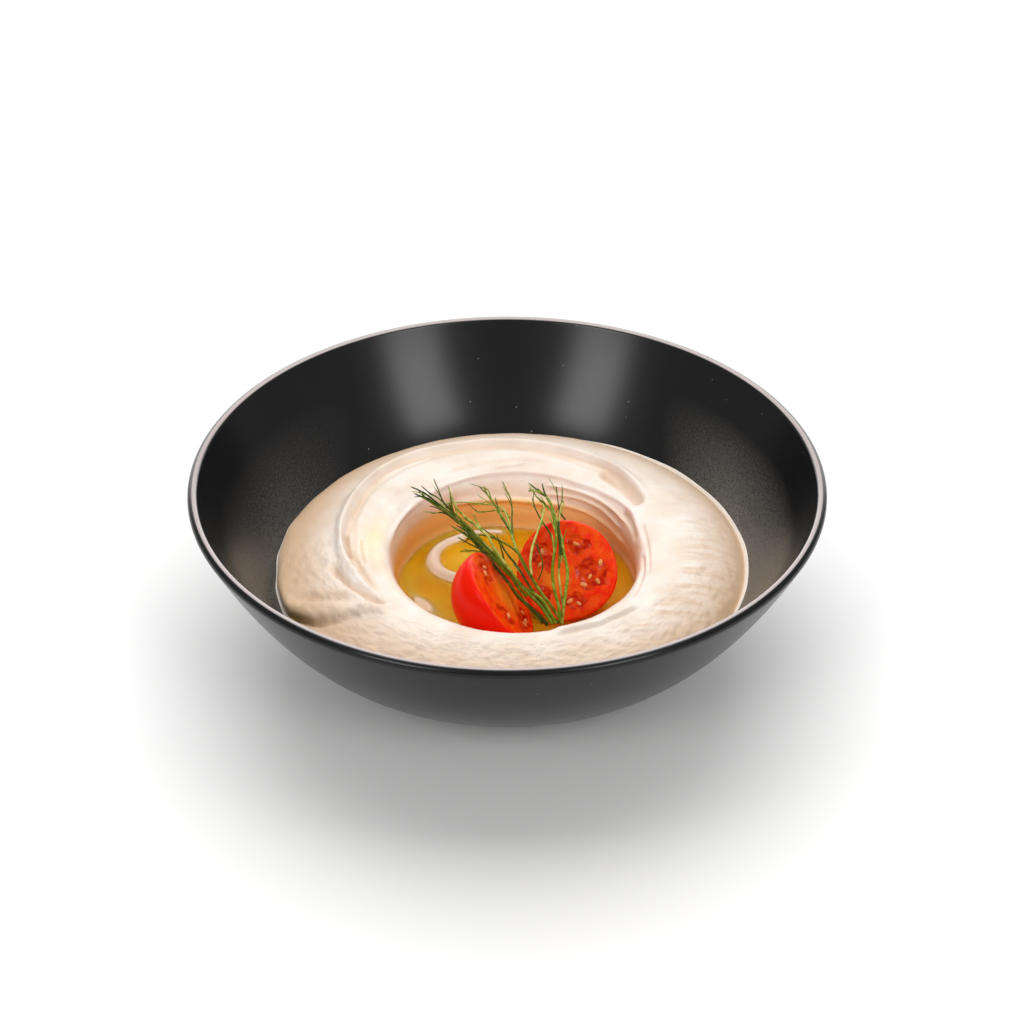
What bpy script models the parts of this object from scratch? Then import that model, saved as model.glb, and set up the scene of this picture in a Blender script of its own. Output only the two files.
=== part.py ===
"""Bowl of hummus: a coupe bowl filled with swirled hummus, an oil pool in its well, two cherry tomato
halves and three dill sprigs.  Metres, +Z up; the origin is the centre of the foot, the front is -Y."""

import math

import bmesh
import bpy
from mathutils import Vector

MM = 0.001
GAP = 0.3                                    # clearance between pieces that touch, mm

# Driving dimensions, in mm and degrees
BOWL_RADIUS = 95.0
BOWL_HEIGHT = 56.0
LIP_RADIUS = 1.6                             # half the thickness of the rounded lip
FOOT_RADIUS = 42.6
FOOT_WIDTH = 5.0
FOOT_RECESS = 3.0
WALL_FOOT_Z = 3.2                            # where the outer wall leaves the foot ring
BOWL_FLOOR_Z = 8.0
FLOOR_RADIUS = 38.0
TURN_STEPS = 60                              # facets round every turned piece on the bowl's axis

HUMMUS_EDGE_RADIUS = 71.2                    # where the hummus meets the bowl's wall
HUMMUS_EDGE_SHIFT = 1.3                      # the filling sits a little to the right
CREST_Z = 30.8
WELL_FLOOR_Z = 11.2
WELL_RADIUS = 38.3                           # its wall stands almost upright
WELL_SHIFT = 3.0                             # the well lies to the right of the bowl's axis
WELL_FOOT_RISE = 5.5                         # how far the back wall's foot runs into the pool
OIL_LEVEL_Z = 14.0

TOMATO_RADIUS = 15.2
TOMATO_DEPTH = 15.0                          # from the cut face to the end of the fruit
TOMATO_STEPS = 22


def smoothstep(low, high, value):
    t = min(1.0, max(0.0, (value - low) / (high - low)))
    return t * t * (3.0 - 2.0 * t)


def bump(value, centre, half_width):
    return math.exp(-((value - centre) / half_width) ** 2)


def turn_between(azimuth, start, end):
    """How far an azimuth is along the turn from start to end, both in degrees; None outside it."""
    along = (azimuth - start) % 360.0
    span = (end - start) % 360.0 or 360.0
    return along / span if along <= span else None


def bezier(a, b, c, d, pieces):
    """Points along a cubic curve in the (radius, height) plane, both ends included."""
    points = []
    for i in range(pieces + 1):
        t = i / pieces
        u = 1.0 - t
        weights = (u ** 3, 3 * u * u * t, 3 * u * t * t, t ** 3)
        points.append(tuple(sum(w * p[k] for w, p in zip(weights, (a, b, c, d))) for k in (0, 1)))
    return points


# ---------------------------------------------------------------- scene, materials, small builders

def clear_scene():
    for obj in list(bpy.data.objects):
        bpy.data.objects.remove(obj, do_unlink=True)


def new_collection(name):
    collection = bpy.data.collections.new(name)
    bpy.context.scene.collection.children.link(collection)
    return collection


def make_material(name, colour, roughness, metallic=0.0, transmission=0.0):
    material = bpy.data.materials.new(name)
    material.use_nodes = True
    shader = material.node_tree.nodes["Principled BSDF"]
    shader.inputs["Base Color"].default_value = (*colour, 1.0)
    shader.inputs["Roughness"].default_value = roughness
    shader.inputs["Metallic"].default_value = metallic
    shader.inputs["Transmission Weight"].default_value = transmission
    material.diffuse_color = (*colour, 1.0)
    return material


def add_object(name, mesh, collection, material=None):
    obj = bpy.data.objects.new(name, mesh)
    collection.objects.link(obj)
    if material:
        mesh.materials.append(material)
    return obj


def turned(name, profile, steps, collection, material=None):
    """A solid of revolution: the profile runs outwards over the top and down the outer side, in mm."""
    mesh = bpy.data.meshes.new(name)
    points = [(r * MM, 0.0, z * MM) for r, z in profile]
    mesh.from_pydata(points, [(i, i + 1) for i in range(len(points) - 1)], [])
    obj = add_object(name, mesh, collection, material)
    screw = obj.modifiers.new("turn", "SCREW")
    screw.steps = steps
    screw.render_steps = steps
    screw.use_merge_vertices = True
    screw.merge_threshold = 0.00001
    screw.use_smooth_shade = True
    return obj


def made_mesh(obj):
    """Replace an object's modifiers by the mesh that they give."""
    evaluated = obj.evaluated_get(bpy.context.evaluated_depsgraph_get())
    mesh = bpy.data.meshes.new_from_object(evaluated)
    obj.modifiers.clear()
    obj.data = mesh
    return mesh


def made_solid(curve_object):
    """The mesh that a curve gives, with its end caps welded on."""
    evaluated = curve_object.evaluated_get(bpy.context.evaluated_depsgraph_get())
    mesh = bpy.data.meshes.new_from_object(evaluated)
    shape = bmesh.new()
    shape.from_mesh(mesh)
    bmesh.ops.remove_doubles(shape, verts=shape.verts, dist=0.00001)
    shape.to_mesh(mesh)
    shape.free()
    return mesh


def as_cutter(obj):
    """Hide a shape that only cuts or joins others."""
    obj.hide_render = True
    obj.display_type = "WIRE"
    return obj


def grown(obj, grow):
    """Push a shape out along its normals by so many mm."""
    swell = obj.modifiers.new("grow", "DISPLACE")
    swell.strength = grow * MM
    swell.mid_level = 0.0
    return obj


def boolean(obj, other, operation):
    modifier = obj.modifiers.new(f"{operation.lower()} {other.name}", "BOOLEAN")
    modifier.operation = operation
    modifier.object = other
    modifier.solver = "EXACT"


# ---------------------------------------------------------------- bowl

INNER_WALL = bezier((FLOOR_RADIUS, BOWL_FLOOR_Z + 0.2), (63.5, 9.3), (78.3, 26.8), (91.95, 55.05), 11)
OUTER_WALL = bezier((43.0, WALL_FOOT_Z), (65.5, 7.0), (80.3, 24.0), (94.86, 53.75), 10)


def bowl_profile():
    lip_r = BOWL_RADIUS - LIP_RADIUS
    lip_z = BOWL_HEIGHT - LIP_RADIUS
    angles = [math.radians(a) for a in (125, 90, 45, 0)]
    lip = [(lip_r + LIP_RADIUS * math.cos(a), lip_z + LIP_RADIUS * math.sin(a)) for a in angles]
    foot_in = FOOT_RADIUS - FOOT_WIDTH
    foot = [
        (FOOT_RADIUS, WALL_FOOT_Z - 0.6), (FOOT_RADIUS - 0.1, 0.5), (FOOT_RADIUS - 0.7, 0.0),
        (foot_in + 0.7, 0.0), (foot_in + 0.1, 0.5), (foot_in - 0.4, FOOT_RECESS), (0.0, FOOT_RECESS),
    ]
    return [(0.0, BOWL_FLOOR_Z)] + INNER_WALL + lip + OUTER_WALL[::-1] + foot


def wall_height(radius):
    """Height of the bowl's faceted inner surface at a radius, in mm."""
    points = [(0.0, BOWL_FLOOR_Z)] + INNER_WALL
    for (r0, z0), (r1, z1) in zip(points, points[1:]):
        if radius <= r1:
            return z0 + (z1 - z0) * (radius - r0) / (r1 - r0)
    return points[-1][1]


def wall_clearance(radius):
    """Upward distance that keeps the gap square to the sloping wall."""
    slope = (wall_height(radius + 0.5) - wall_height(radius - 0.5)) if radius > 1.0 else 0.0
    return GAP * math.hypot(1.0, slope)


# ---------------------------------------------------------------- hummus

# Spoon marks on the ring: (start and end azimuth, start and end radius, half width, height)
SPOON_MARKS = (
    (28.0, 152.0, 52.5, 55.0, 2.4, 1.1),     # the raised edge round the back
    (152.0, 225.0, 55.0, 47.0, 2.4, 0.9),    # the same edge coming in down the left side
    (30.0, 205.0, 47.0, 44.5, 2.2, -0.9),    # the trough inside it
    (196.0, 228.0, 66.0, 52.0, 3.0, 1.0),    # the bulge where the spoon began
    (200.0, 236.0, 62.0, 45.0, 2.4, -1.0),   # the fold under the bulge
    (292.0, 322.0, 46.0, 49.0, 1.8, -0.6),   # a short crease at the front right
)


def spoon_marks(radius, azimuth):
    height = 0.0
    for start, end, r_start, r_end, width, lift in SPOON_MARKS:
        along = turn_between(azimuth, start, end)
        if along is None:
            continue
        fade = smoothstep(0.0, 0.15, along) * (1.0 - smoothstep(0.85, 1.0, along))
        height += fade * lift * bump(radius, r_start + (r_end - r_start) * along, width)
    return height


def well_offset(radius, height, azimuth):
    """How much further out the well's wall stands than in the turned profile."""
    side = math.cos(math.radians(azimuth))
    back = max(0.0, math.sin(math.radians(azimuth)))
    near_well = smoothstep(4.0, 30.0, radius) * (1.0 - smoothstep(43.0, 56.0, radius))
    flare = 1.8 * back * back * smoothstep(22.0, CREST_Z - 3.0, height)
    foot = WELL_FOOT_RISE * bump(azimuth, 84.0, 26.0) * (1.0 - smoothstep(OIL_LEVEL_Z, 26.0, height))
    return near_well * (WELL_SHIFT * side + flare - foot)


WELL_BOWL = [
    (WELL_RADIUS - 0.3, 16.0), (WELL_RADIUS - 1.4, 13.2), (WELL_RADIUS - 4.4, WELL_FLOOR_Z + 0.2),
    (20.0, WELL_FLOOR_Z), (0.0, WELL_FLOOR_Z),
]


def hummus_profile():
    under = [(r, wall_height(r) + wall_clearance(r)) for r, _ in INNER_WALL if r < HUMMUS_EDGE_RADIUS - 2.0]
    edge = (HUMMUS_EDGE_RADIUS, wall_height(HUMMUS_EDGE_RADIUS) + wall_clearance(HUMMUS_EDGE_RADIUS))
    top = [
        (70.6, edge[1] + 1.0), (68.6, 26.0), (65.5, 27.7), (62.0, 28.9), (58.0, 29.9), (54.5, CREST_Z - 0.3),
        (51.0, CREST_Z), (47.5, CREST_Z - 0.3), (44.0, CREST_Z - 0.9), (41.2, CREST_Z - 1.8), (39.3, CREST_Z - 3.8),
        (WELL_RADIUS + 0.1, 24.0), (WELL_RADIUS, 19.5),
    ] + WELL_BOWL
    return top[::-1] + [edge] + under[::-1] + [(0.0, BOWL_FLOOR_Z + GAP)]


def is_under(radius, height):
    return height < wall_height(radius) + wall_clearance(radius) + 0.05


def swirl(mesh):
    """Move a turned shape's points in their own half planes, to the spooned form of the hummus."""
    for vertex in mesh.vertices:
        x, y, z = (c / MM for c in vertex.co)
        radius = math.hypot(x, y)
        if radius < 1.0:
            continue
        azimuth = math.degrees(math.atan2(y, x)) % 360.0
        side = math.cos(math.radians(azimuth))
        under = is_under(radius, z)
        new_radius = radius + HUMMUS_EDGE_SHIFT * side * smoothstep(48.0, HUMMUS_EDGE_RADIUS, radius)
        if under:
            z = wall_height(new_radius) + wall_clearance(new_radius)
        else:
            new_radius += well_offset(radius, z, azimuth)
            z += spoon_marks(radius, azimuth)
            z -= 2.2 * bump(azimuth, 270.0, 45.0) * bump(radius, 41.0, 6.0)
            z += wall_height(new_radius) - wall_height(radius) if radius > 64.0 else 0.0
        scale = new_radius / radius
        vertex.co = (x * scale * MM, y * scale * MM, z * MM)


TONGUE_CENTRE = (-11.3, 16.2)                # the spoon's last curl, which stands out of the oil
TONGUE_CURL = 11.2
TONGUE_TOP_Z = 15.2
TONGUE_THICK = 2.2                           # radius of its section


def make_tongue(name, collection, grow):
    """The curl of hummus in the well: it leaves the back wall, turns left and comes round to the front."""
    curve = bpy.data.curves.new(name, "CURVE")
    curve.dimensions = "3D"
    curve.bevel_depth = (TONGUE_THICK + grow) * MM
    curve.bevel_resolution = 2
    curve.resolution_u = 2
    curve.use_fill_caps = True
    spline = curve.splines.new("POLY")
    count = 15
    spline.points.add(count - 1)
    for i, point in enumerate(spline.points):
        along = i / (count - 1)
        angle = math.radians(55.0 + 225.0 * along)
        reach = TONGUE_CURL + 6.0 * (1.0 - smoothstep(0.0, 0.35, along))
        x = TONGUE_CENTRE[0] + reach * math.cos(angle)
        y = TONGUE_CENTRE[1] + reach * math.sin(angle)
        sink = 0.8 * smoothstep(0.75, 1.0, along)
        point.co = (x * MM, y * MM, (TONGUE_TOP_Z - TONGUE_THICK - sink) * MM, 1.0)
    obj = bpy.data.objects.new(name, curve)
    collection.objects.link(obj)
    mesh = made_solid(obj)
    bpy.data.objects.remove(obj)
    return add_object(name, mesh, collection)


# ---------------------------------------------------------------- oil

def oil_profile():
    """The pool: flat at its level, and lying in the well on the hummus."""
    under = [(r - GAP if z > WELL_FLOOR_Z else r, z + GAP) for r, z in WELL_BOWL[1:]]
    rim = (WELL_RADIUS - 1.4, OIL_LEVEL_Z)
    return [(0.0, OIL_LEVEL_Z), (18.0, OIL_LEVEL_Z), rim] + under


def spread_to_well(mesh):
    for vertex in mesh.vertices:
        x, y, z = (c / MM for c in vertex.co)
        radius = math.hypot(x, y)
        if radius < 1.0:
            continue
        azimuth = math.degrees(math.atan2(y, x)) % 360.0
        scale = (radius + well_offset(radius, min(z, OIL_LEVEL_Z), azimuth)) / radius
        vertex.co = (x * scale * MM, y * scale * MM, z * MM)


# ---------------------------------------------------------------- tomatoes

def tomato_profile():
    """Half a cherry tomato on its cut face: raised core, sunken seed chambers, wall, skin."""
    r = TOMATO_RADIUS
    face = [(0.0, 0.3), (3.2, 0.1), (5.0, -0.8), (11.0, -0.8), (12.6, 0.0), (r - 0.7, 0.0), (r, -0.8)]
    dome = []
    for i in range(1, 8):
        angle = math.radians(4.0 + 86.0 * i / 7)
        dome.append((r * math.cos(angle), -TOMATO_DEPTH * math.sin(angle)))
    dome[-1] = (0.0, -TOMATO_DEPTH)
    return face + dome


TOMATOES = {
    # name: centre of the cut face, and the way the face looks
    "tomato_half_left": ((-1.4, -20.6, 26.8), (0.76, 0.18, 0.63)),
    "tomato_half_right": ((17.9, -8.8, 27.1), (-0.05, -0.83, 0.56)),
}


def place(obj, centre, normal):
    obj.location = Vector(centre) * MM
    obj.rotation_euler = Vector(normal).to_track_quat("Z", "Y").to_euler()
    bpy.context.view_layer.update()


# ---------------------------------------------------------------- dill

DILL_STEMS = {
    # name: points of the stem from its cut end to its tip, in mm
    "dill_sprig_left": ((13.5, -32.5, 25.0), (5.9, -22.5, 29.3), (-2.2, -12.5, 32.7), (-11.2, -1.0, 36.4),
                        (-20.2, 8.0, 39.0), (-29.2, 16.0, 40.5)),
    "dill_sprig_middle": ((15.0, -29.6, 24.5), (8.8, -21.0, 30.8), (3.5, -10.5, 36.8), (0.2, 1.5, 38.7),
                          (-3.1, 9.5, 40.5), (-6.5, 16.0, 41.6)),
    "dill_sprig_right": ((18.2, -29.5, 25.8), (15.4, -24.0, 33.0), (14.8, -17.0, 37.1), (14.9, -7.5, 41.3),
                         (13.2, 2.0, 43.5), (8.4, 8.0, 44.5)),
}
STEM_RADIUS = 1.1
STEM_STATIONS = 16
LEAF_TIP = 0.22                              # a thread's end, as a share of its base
LEAVES_PER_SPRIG = 7
LEAF_LENGTH = 11.0


def stem_point(points, along):
    """A point on the smooth curve through the stem's points, along it from 0 to 1."""
    place_on = min(along, 0.9999) * (len(points) - 1)
    i = int(place_on)
    t = place_on - i
    p = [Vector(points[min(max(i + k, 0), len(points) - 1)]) for k in (-1, 0, 1, 2)]
    return 0.5 * (2 * p[1] + (p[2] - p[0]) * t + (2 * p[0] - 5 * p[1] + 4 * p[2] - p[3]) * t ** 2
                  + (3 * p[1] - p[0] - 3 * p[2] + p[3]) * t ** 3)


def grow_leaf(shape, root, ahead, side, length):
    """Draw one face of the stem, the nearest to root that looks sideways, out into a tapering thread."""
    faces = [f for f in shape.faces if f.normal.dot(side) > 0.8]
    face = min(faces, key=lambda f: (f.calc_center_median() - root).length)
    for reach, taper in ((0.25, 0.5), (0.75, LEAF_TIP / 0.5)):
        face = bmesh.ops.extrude_discrete_faces(shape, faces=[face])["faces"][0]
        centre = face.calc_center_median()
        step = (ahead * 0.92 + side * 0.4) * length * reach * MM
        for vertex in face.verts:
            vertex.co = centre + (vertex.co - centre) * taper + step
    shape.normal_update()


def make_dill(name, points, collection, material):
    """A sprig: a tapering stem with threads of leaf drawn out of its two sides in turn."""
    curve = bpy.data.curves.new(name, "CURVE")
    curve.dimensions = "3D"
    curve.bevel_depth = STEM_RADIUS * MM
    curve.bevel_resolution = 1
    curve.use_fill_caps = True
    spline = curve.splines.new("POLY")
    spline.points.add(STEM_STATIONS - 1)
    for i, point in enumerate(spline.points):
        along = i / (STEM_STATIONS - 1)
        point.co = (*(stem_point(points, along) * MM), 1.0)
        point.radius = 1.0 - 0.6 * along
    obj = bpy.data.objects.new(name, curve)
    collection.objects.link(obj)
    mesh = made_solid(obj)
    bpy.data.objects.remove(obj)
    shape = bmesh.new()
    shape.from_mesh(mesh)
    for leaf in range(LEAVES_PER_SPRIG):
        along = 0.52 + 0.42 * leaf / (LEAVES_PER_SPRIG - 1)
        ahead = (stem_point(points, along + 0.04) - stem_point(points, along - 0.04)).normalized()
        side = ahead.cross(Vector((0.0, -0.5, 1.0))).normalized() * (1.0 if leaf % 2 else -1.0)
        grow_leaf(shape, stem_point(points, along) * MM, ahead, side, LEAF_LENGTH * (1.0 - 0.07 * leaf))
    shape.to_mesh(mesh)
    shape.free()
    return add_object(name, mesh, collection, material)


# ---------------------------------------------------------------- the whole

def main():
    clear_scene()
    parts = new_collection("bowl_of_hummus")
    cutters = new_collection("cutters")

    stoneware = make_material("black glazed stoneware", (0.020, 0.020, 0.021), 0.32)
    hummus = make_material("whipped hummus", (0.83, 0.68, 0.50), 0.55)
    oil = make_material("olive oil", (0.62, 0.45, 0.06), 0.05, transmission=0.6)
    tomato = make_material("cherry tomato", (0.72, 0.06, 0.015), 0.2)
    dill = make_material("dill", (0.07, 0.16, 0.03), 0.5)

    turned("bowl", bowl_profile(), TURN_STEPS, parts, stoneware)

    filling = turned("hummus", hummus_profile(), TURN_STEPS, parts, hummus)
    swirl(made_mesh(filling))
    pool = turned("oil_pool", oil_profile(), TURN_STEPS, parts, oil)
    spread_to_well(made_mesh(pool))

    boolean(filling, as_cutter(make_tongue("tongue", cutters, 0.0)), "UNION")
    boolean(pool, as_cutter(make_tongue("tongue_space", cutters, GAP)), "DIFFERENCE")
    for name, (centre, normal) in TOMATOES.items():
        place(turned(name, tomato_profile(), TOMATO_STEPS, parts, tomato), centre, normal)
        space = as_cutter(turned(name + "_space", tomato_profile(), TOMATO_STEPS, cutters))
        place(grown(space, GAP * 1.05), centre, normal)
        boolean(filling, space, "DIFFERENCE")
        boolean(pool, space, "DIFFERENCE")

    for name, points in DILL_STEMS.items():
        make_dill(name, points, parts, dill)


main()
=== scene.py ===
"""Bowl of hummus, the looks: a satin black stoneware bowl, spooned hummus with olive oil in its well, two
cherry tomato halves and dill.  The settings are in metres, the shapes are worked out in millimetres."""
import math

import bmesh
import bpy
import numpy as np
from bpy.props import FloatProperty, FloatVectorProperty, IntProperty, PointerProperty
from mathutils import Matrix, Vector


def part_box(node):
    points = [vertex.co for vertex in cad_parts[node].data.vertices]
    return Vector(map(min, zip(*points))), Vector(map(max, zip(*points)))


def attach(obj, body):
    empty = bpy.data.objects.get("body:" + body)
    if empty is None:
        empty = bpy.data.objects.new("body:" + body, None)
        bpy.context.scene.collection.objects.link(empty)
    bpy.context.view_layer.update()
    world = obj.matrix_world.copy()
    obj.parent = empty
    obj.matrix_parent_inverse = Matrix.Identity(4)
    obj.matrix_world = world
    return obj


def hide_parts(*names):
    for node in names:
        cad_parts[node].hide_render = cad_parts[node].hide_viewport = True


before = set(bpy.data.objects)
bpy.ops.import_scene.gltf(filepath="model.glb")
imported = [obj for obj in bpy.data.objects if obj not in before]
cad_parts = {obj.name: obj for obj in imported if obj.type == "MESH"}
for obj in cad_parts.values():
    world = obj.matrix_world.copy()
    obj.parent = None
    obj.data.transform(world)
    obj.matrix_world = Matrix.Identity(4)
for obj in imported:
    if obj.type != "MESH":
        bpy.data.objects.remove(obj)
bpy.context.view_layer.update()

bl_info = {
    "name": "Bowl of hummus",
    "version": (1, 0, 0),
    "blender": (4, 5, 0),
    "location": "3D View > Sidebar > Hummus",
    "description": "Builds a stoneware bowl of swirled hummus with oil, tomato halves and dill",
    "category": "Add Mesh",
}

MM = 0.001


def box_mm(name):
    """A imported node's lowest and highest corners, in millimetres."""
    low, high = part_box(name)
    return Vector(low) / MM, Vector(high) / MM


BOWL_LOW, BOWL_HIGH = box_mm("bowl")
FILL_LOW, FILL_HIGH = box_mm("hummus")
POOL_LOW, POOL_HIGH = box_mm("oil_pool")

BOWL_RADIUS = (BOWL_HIGH.x - BOWL_LOW.x) / 2
BOWL_HEIGHT = BOWL_HIGH.z - BOWL_LOW.z
FILL_RADIUS = (FILL_HIGH.x - FILL_LOW.x) / 2
FILL_CENTRE = Vector(((FILL_HIGH.x + FILL_LOW.x) / 2, 0.0))
OIL_LEVEL = POOL_HIGH.z
WELL_CENTRE = Vector(((POOL_HIGH.x + POOL_LOW.x) / 2, 0.3))


# ---------------------------------------------------------------- small helpers

def linear(hex_colour):
    """An sRGB hex value as the linear colour that shaders take."""
    channels = [int(hex_colour[i:i + 2], 16) / 255 for i in (1, 3, 5)]
    return tuple(c / 12.92 if c <= 0.04045 else ((c + 0.055) / 1.055) ** 2.4 for c in channels) + (1.0,)


def colour_property(name, description, hex_colour):
    return FloatVectorProperty(name=name, description=description, subtype="COLOR", size=4, min=0.0, max=1.0,
                               default=linear(hex_colour))


def length_property(name, description, millimetres):
    return FloatProperty(name=name, description=description, subtype="DISTANCE", unit="LENGTH",
                         default=millimetres * MM, precision=5)


def add_node(tree, kind, links=None, **settings):
    """Add a node, set its properties, and fill its inputs with values or with other nodes' outputs."""
    node = tree.nodes.new(kind)
    for name, value in settings.items():
        setattr(node, name, value)
    for name, value in (links or {}).items():
        socket = node.inputs[name]
        if isinstance(value, bpy.types.NodeSocket):
            tree.links.new(value, socket)
        else:
            socket.default_value = value
    return node


def new_material(name, **constants):
    """A material with one Principled shader, and the constants set on its own sockets."""
    material = bpy.data.materials.new(name)
    material.use_nodes = True
    tree = material.node_tree
    shader = tree.nodes["Principled BSDF"]
    for socket, value in constants.items():
        shader.inputs[socket.replace("_", " ")].default_value = value
    return material, tree, shader


def blend_colours(tree, share, low, high):
    """One colour turned into another by a share from 0 to 1."""
    return add_node(tree, "ShaderNodeMix", {0: share, 6: low, 7: high}, data_type="RGBA").outputs[2]


def spread(tree, value, low, high, to_low=0.0, to_high=1.0):
    """A value stretched from one range to another, held at its ends."""
    return add_node(tree, "ShaderNodeMapRange", {
        "Value": value, "From Min": low, "From Max": high, "To Min": to_low, "To Max": to_high,
    }).outputs[0]


def maths(tree, operation, *values):
    """The result of a Math node, from numbers or from other nodes' outputs."""
    return add_node(tree, "ShaderNodeMath", dict(enumerate(values)), operation=operation).outputs[0]


def stretched(tree, vector, scales):
    """A place scaled along its three axes."""
    return add_node(tree, "ShaderNodeVectorMath", {0: vector, 1: scales}, operation="MULTIPLY").outputs[0]


def noise(tree, where, millimetres, detail=2.0):
    """Noise whose features have about this size."""
    return add_node(tree, "ShaderNodeTexNoise", {
        "Vector": where, "Scale": 1.0 / (millimetres * MM), "Detail": detail,
    }).outputs[0]


def cells(tree, where, millimetres):
    """Distance to the nearest of scattered points that lie about this far apart."""
    scale = 1.0 / (millimetres * MM)
    return add_node(tree, "ShaderNodeTexVoronoi", {"Vector": where, "Scale": scale}).outputs["Distance"]


def object_place(tree):
    """For a material: where a point lies in the object's own space."""
    return add_node(tree, "ShaderNodeTexCoord").outputs["Object"]


def mask(tree, name):
    """For a material: what the mesh stores at its points under this name."""
    return add_node(tree, "ShaderNodeAttribute", attribute_name=name).outputs["Fac"]


def stored(tree, name, data_type="FLOAT"):
    """For a Geometry Nodes tree: what the points store under this name."""
    return add_node(tree, "GeometryNodeInputNamedAttribute", {"Name": name}, data_type=data_type).outputs[0]


def drive(tree, shader, **sources):
    """Link nodes' outputs to the shader's sockets of these names."""
    for socket, source in sources.items():
        tree.links.new(source, shader.inputs[socket.replace("_", " ")])


def fine_relief(tree, shader, height, strength, millimetres):
    """Unevenness too small for the mesh, which only bends the light."""
    relief = add_node(tree, "ShaderNodeBump", {
        "Height": height, "Strength": strength, "Distance": millimetres * MM,
    })
    tree.links.new(relief.outputs[0], shader.inputs["Normal"])


def new_object(name, mesh, material=None):
    obj = bpy.data.objects.new(name, mesh)
    bpy.context.scene.collection.objects.link(obj)
    if material:
        mesh.materials.append(material)
    return obj


def mesh_from(name, points_mm, faces, material=None, smooth=True):
    mesh = bpy.data.meshes.new(name)
    mesh.from_pydata([tuple(float(c) * MM for c in p) for p in points_mm], [], faces)
    mesh.update()
    if smooth:
        mesh.shade_smooth()
    return new_object(name, mesh, material)


def point_attribute(mesh, name, values):
    attribute = mesh.attributes.new(name, "FLOAT", "POINT")
    attribute.data.foreach_set("value", np.ascontiguousarray(values, np.float32).ravel())


def new_tree(name, inputs):
    """A Geometry Nodes tree with named inputs, a geometry in and a geometry out."""
    tree = bpy.data.node_groups.new(name, "GeometryNodeTree")
    tree.is_modifier = True
    tree.interface.new_socket("Geometry", in_out="INPUT", socket_type="NodeSocketGeometry")
    for label, kind in inputs.items():
        tree.interface.new_socket(label, in_out="INPUT", socket_type=kind)
    tree.interface.new_socket("Geometry", in_out="OUTPUT", socket_type="NodeSocketGeometry")
    return tree, tree.nodes.new("NodeGroupInput"), tree.nodes.new("NodeGroupOutput")


def close_tree(tree, geometry, material, output):
    """End a tree: shade it smooth, realise its instances and set its material."""
    smooth = add_node(tree, "GeometryNodeSetShadeSmooth", {"Geometry": geometry, "Shade Smooth": True})
    real = add_node(tree, "GeometryNodeRealizeInstances", {"Geometry": smooth.outputs[0]})
    finish = add_node(tree, "GeometryNodeSetMaterial", {"Geometry": real.outputs[0], "Material": material})
    tree.links.new(finish.outputs[0], output.inputs[0])


def run_tree(obj, tree, values):
    """Run a tree on an object with these inputs, and keep the plain mesh that it gives."""
    modifier = obj.modifiers.new(tree.name, "NODES")
    modifier.node_group = tree
    for item in tree.interface.items_tree:
        if item.in_out == "INPUT" and item.name in values:
            modifier[item.identifier] = values[item.name]
    evaluated = obj.evaluated_get(bpy.context.evaluated_depsgraph_get())
    mesh = bpy.data.meshes.new_from_object(evaluated)
    obj.modifiers.clear()
    obj.data = mesh
    return mesh


def hand_over(piece, slot, *nodes):
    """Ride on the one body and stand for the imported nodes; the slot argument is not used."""
    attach(piece, "root")
    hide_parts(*nodes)


def smoothstep(low, high, value):
    t = np.clip((value - low) / (high - low), 0.0, 1.0)
    return t * t * (3.0 - 2.0 * t)


def bump(value, centre, half_width):
    return np.exp(-((value - centre) / half_width) ** 2)


def turn_from(azimuth, centre):
    """The signed turn from a centre azimuth, in degrees."""
    return (azimuth - centre + 180.0) % 360.0 - 180.0


def bezier(a, b, c, d, pieces):
    t = np.linspace(0.0, 1.0, pieces + 1)[:, None]
    a, b, c, d = (np.array(p, float) for p in (a, b, c, d))
    return (1 - t) ** 3 * a + 3 * (1 - t) ** 2 * t * b + 3 * (1 - t) * t ** 2 * c + t ** 3 * d


def ring_points(x, y, radius, azimuths, z):
    """Points round a centre at these azimuths; radius and height are one number or one for each point."""
    a = np.radians(azimuths)
    return np.stack([x + radius * np.cos(a), y + radius * np.sin(a), z + 0.0 * a], 1)


def quads_between(rings, steps, first=0, flip=False):
    """Faces between rings of points that follow one another, from the point with the number first."""
    faces = []
    for a in range(first, first + (rings - 1) * steps, steps):
        for i in range(steps):
            after = (i + 1) % steps
            quad = (a + i, a + steps + i, a + steps + after, a + after)
            faces.append(quad[:1] + quad[:0:-1] if flip else quad)
    return faces


def fan(first, steps, tip, flip=False):
    """Triangles between one ring of points and a single point."""
    sides = [(first + i, first + (i + 1) % steps) for i in range(steps)]
    return [(b, a, tip) if flip else (a, b, tip) for a, b in sides]


# ---------------------------------------------------------------- bowl

LIP = 1.6                                    # radius of the rounded lip
FLOOR_RADIUS, FLOOR_HEIGHT = 38.0, 8.0       # the flat middle of the inside
FOOT_OUT, FOOT_IN = 42.6, 37.4               # the foot ring's two sides
INNER = ((FLOOR_RADIUS, 8.2), (63.5, 9.3), (78.3, 26.8), (BOWL_RADIUS - 3.05, BOWL_HEIGHT - 0.95))
LIP_PLACE = 0.399                            # where the lip's inner shoulder lies along the profile
OUTER = ((43.0, 3.2), (65.5, 7.0), (80.3, 24.0), (BOWL_RADIUS - 0.14, BOWL_HEIGHT - 2.25))


def arc(centre, radius, start, end, pieces):
    angles = np.radians(np.linspace(start, end, pieces + 1))
    return np.stack([centre[0] + radius * np.cos(angles), centre[1] + radius * np.sin(angles)], 1)


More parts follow.
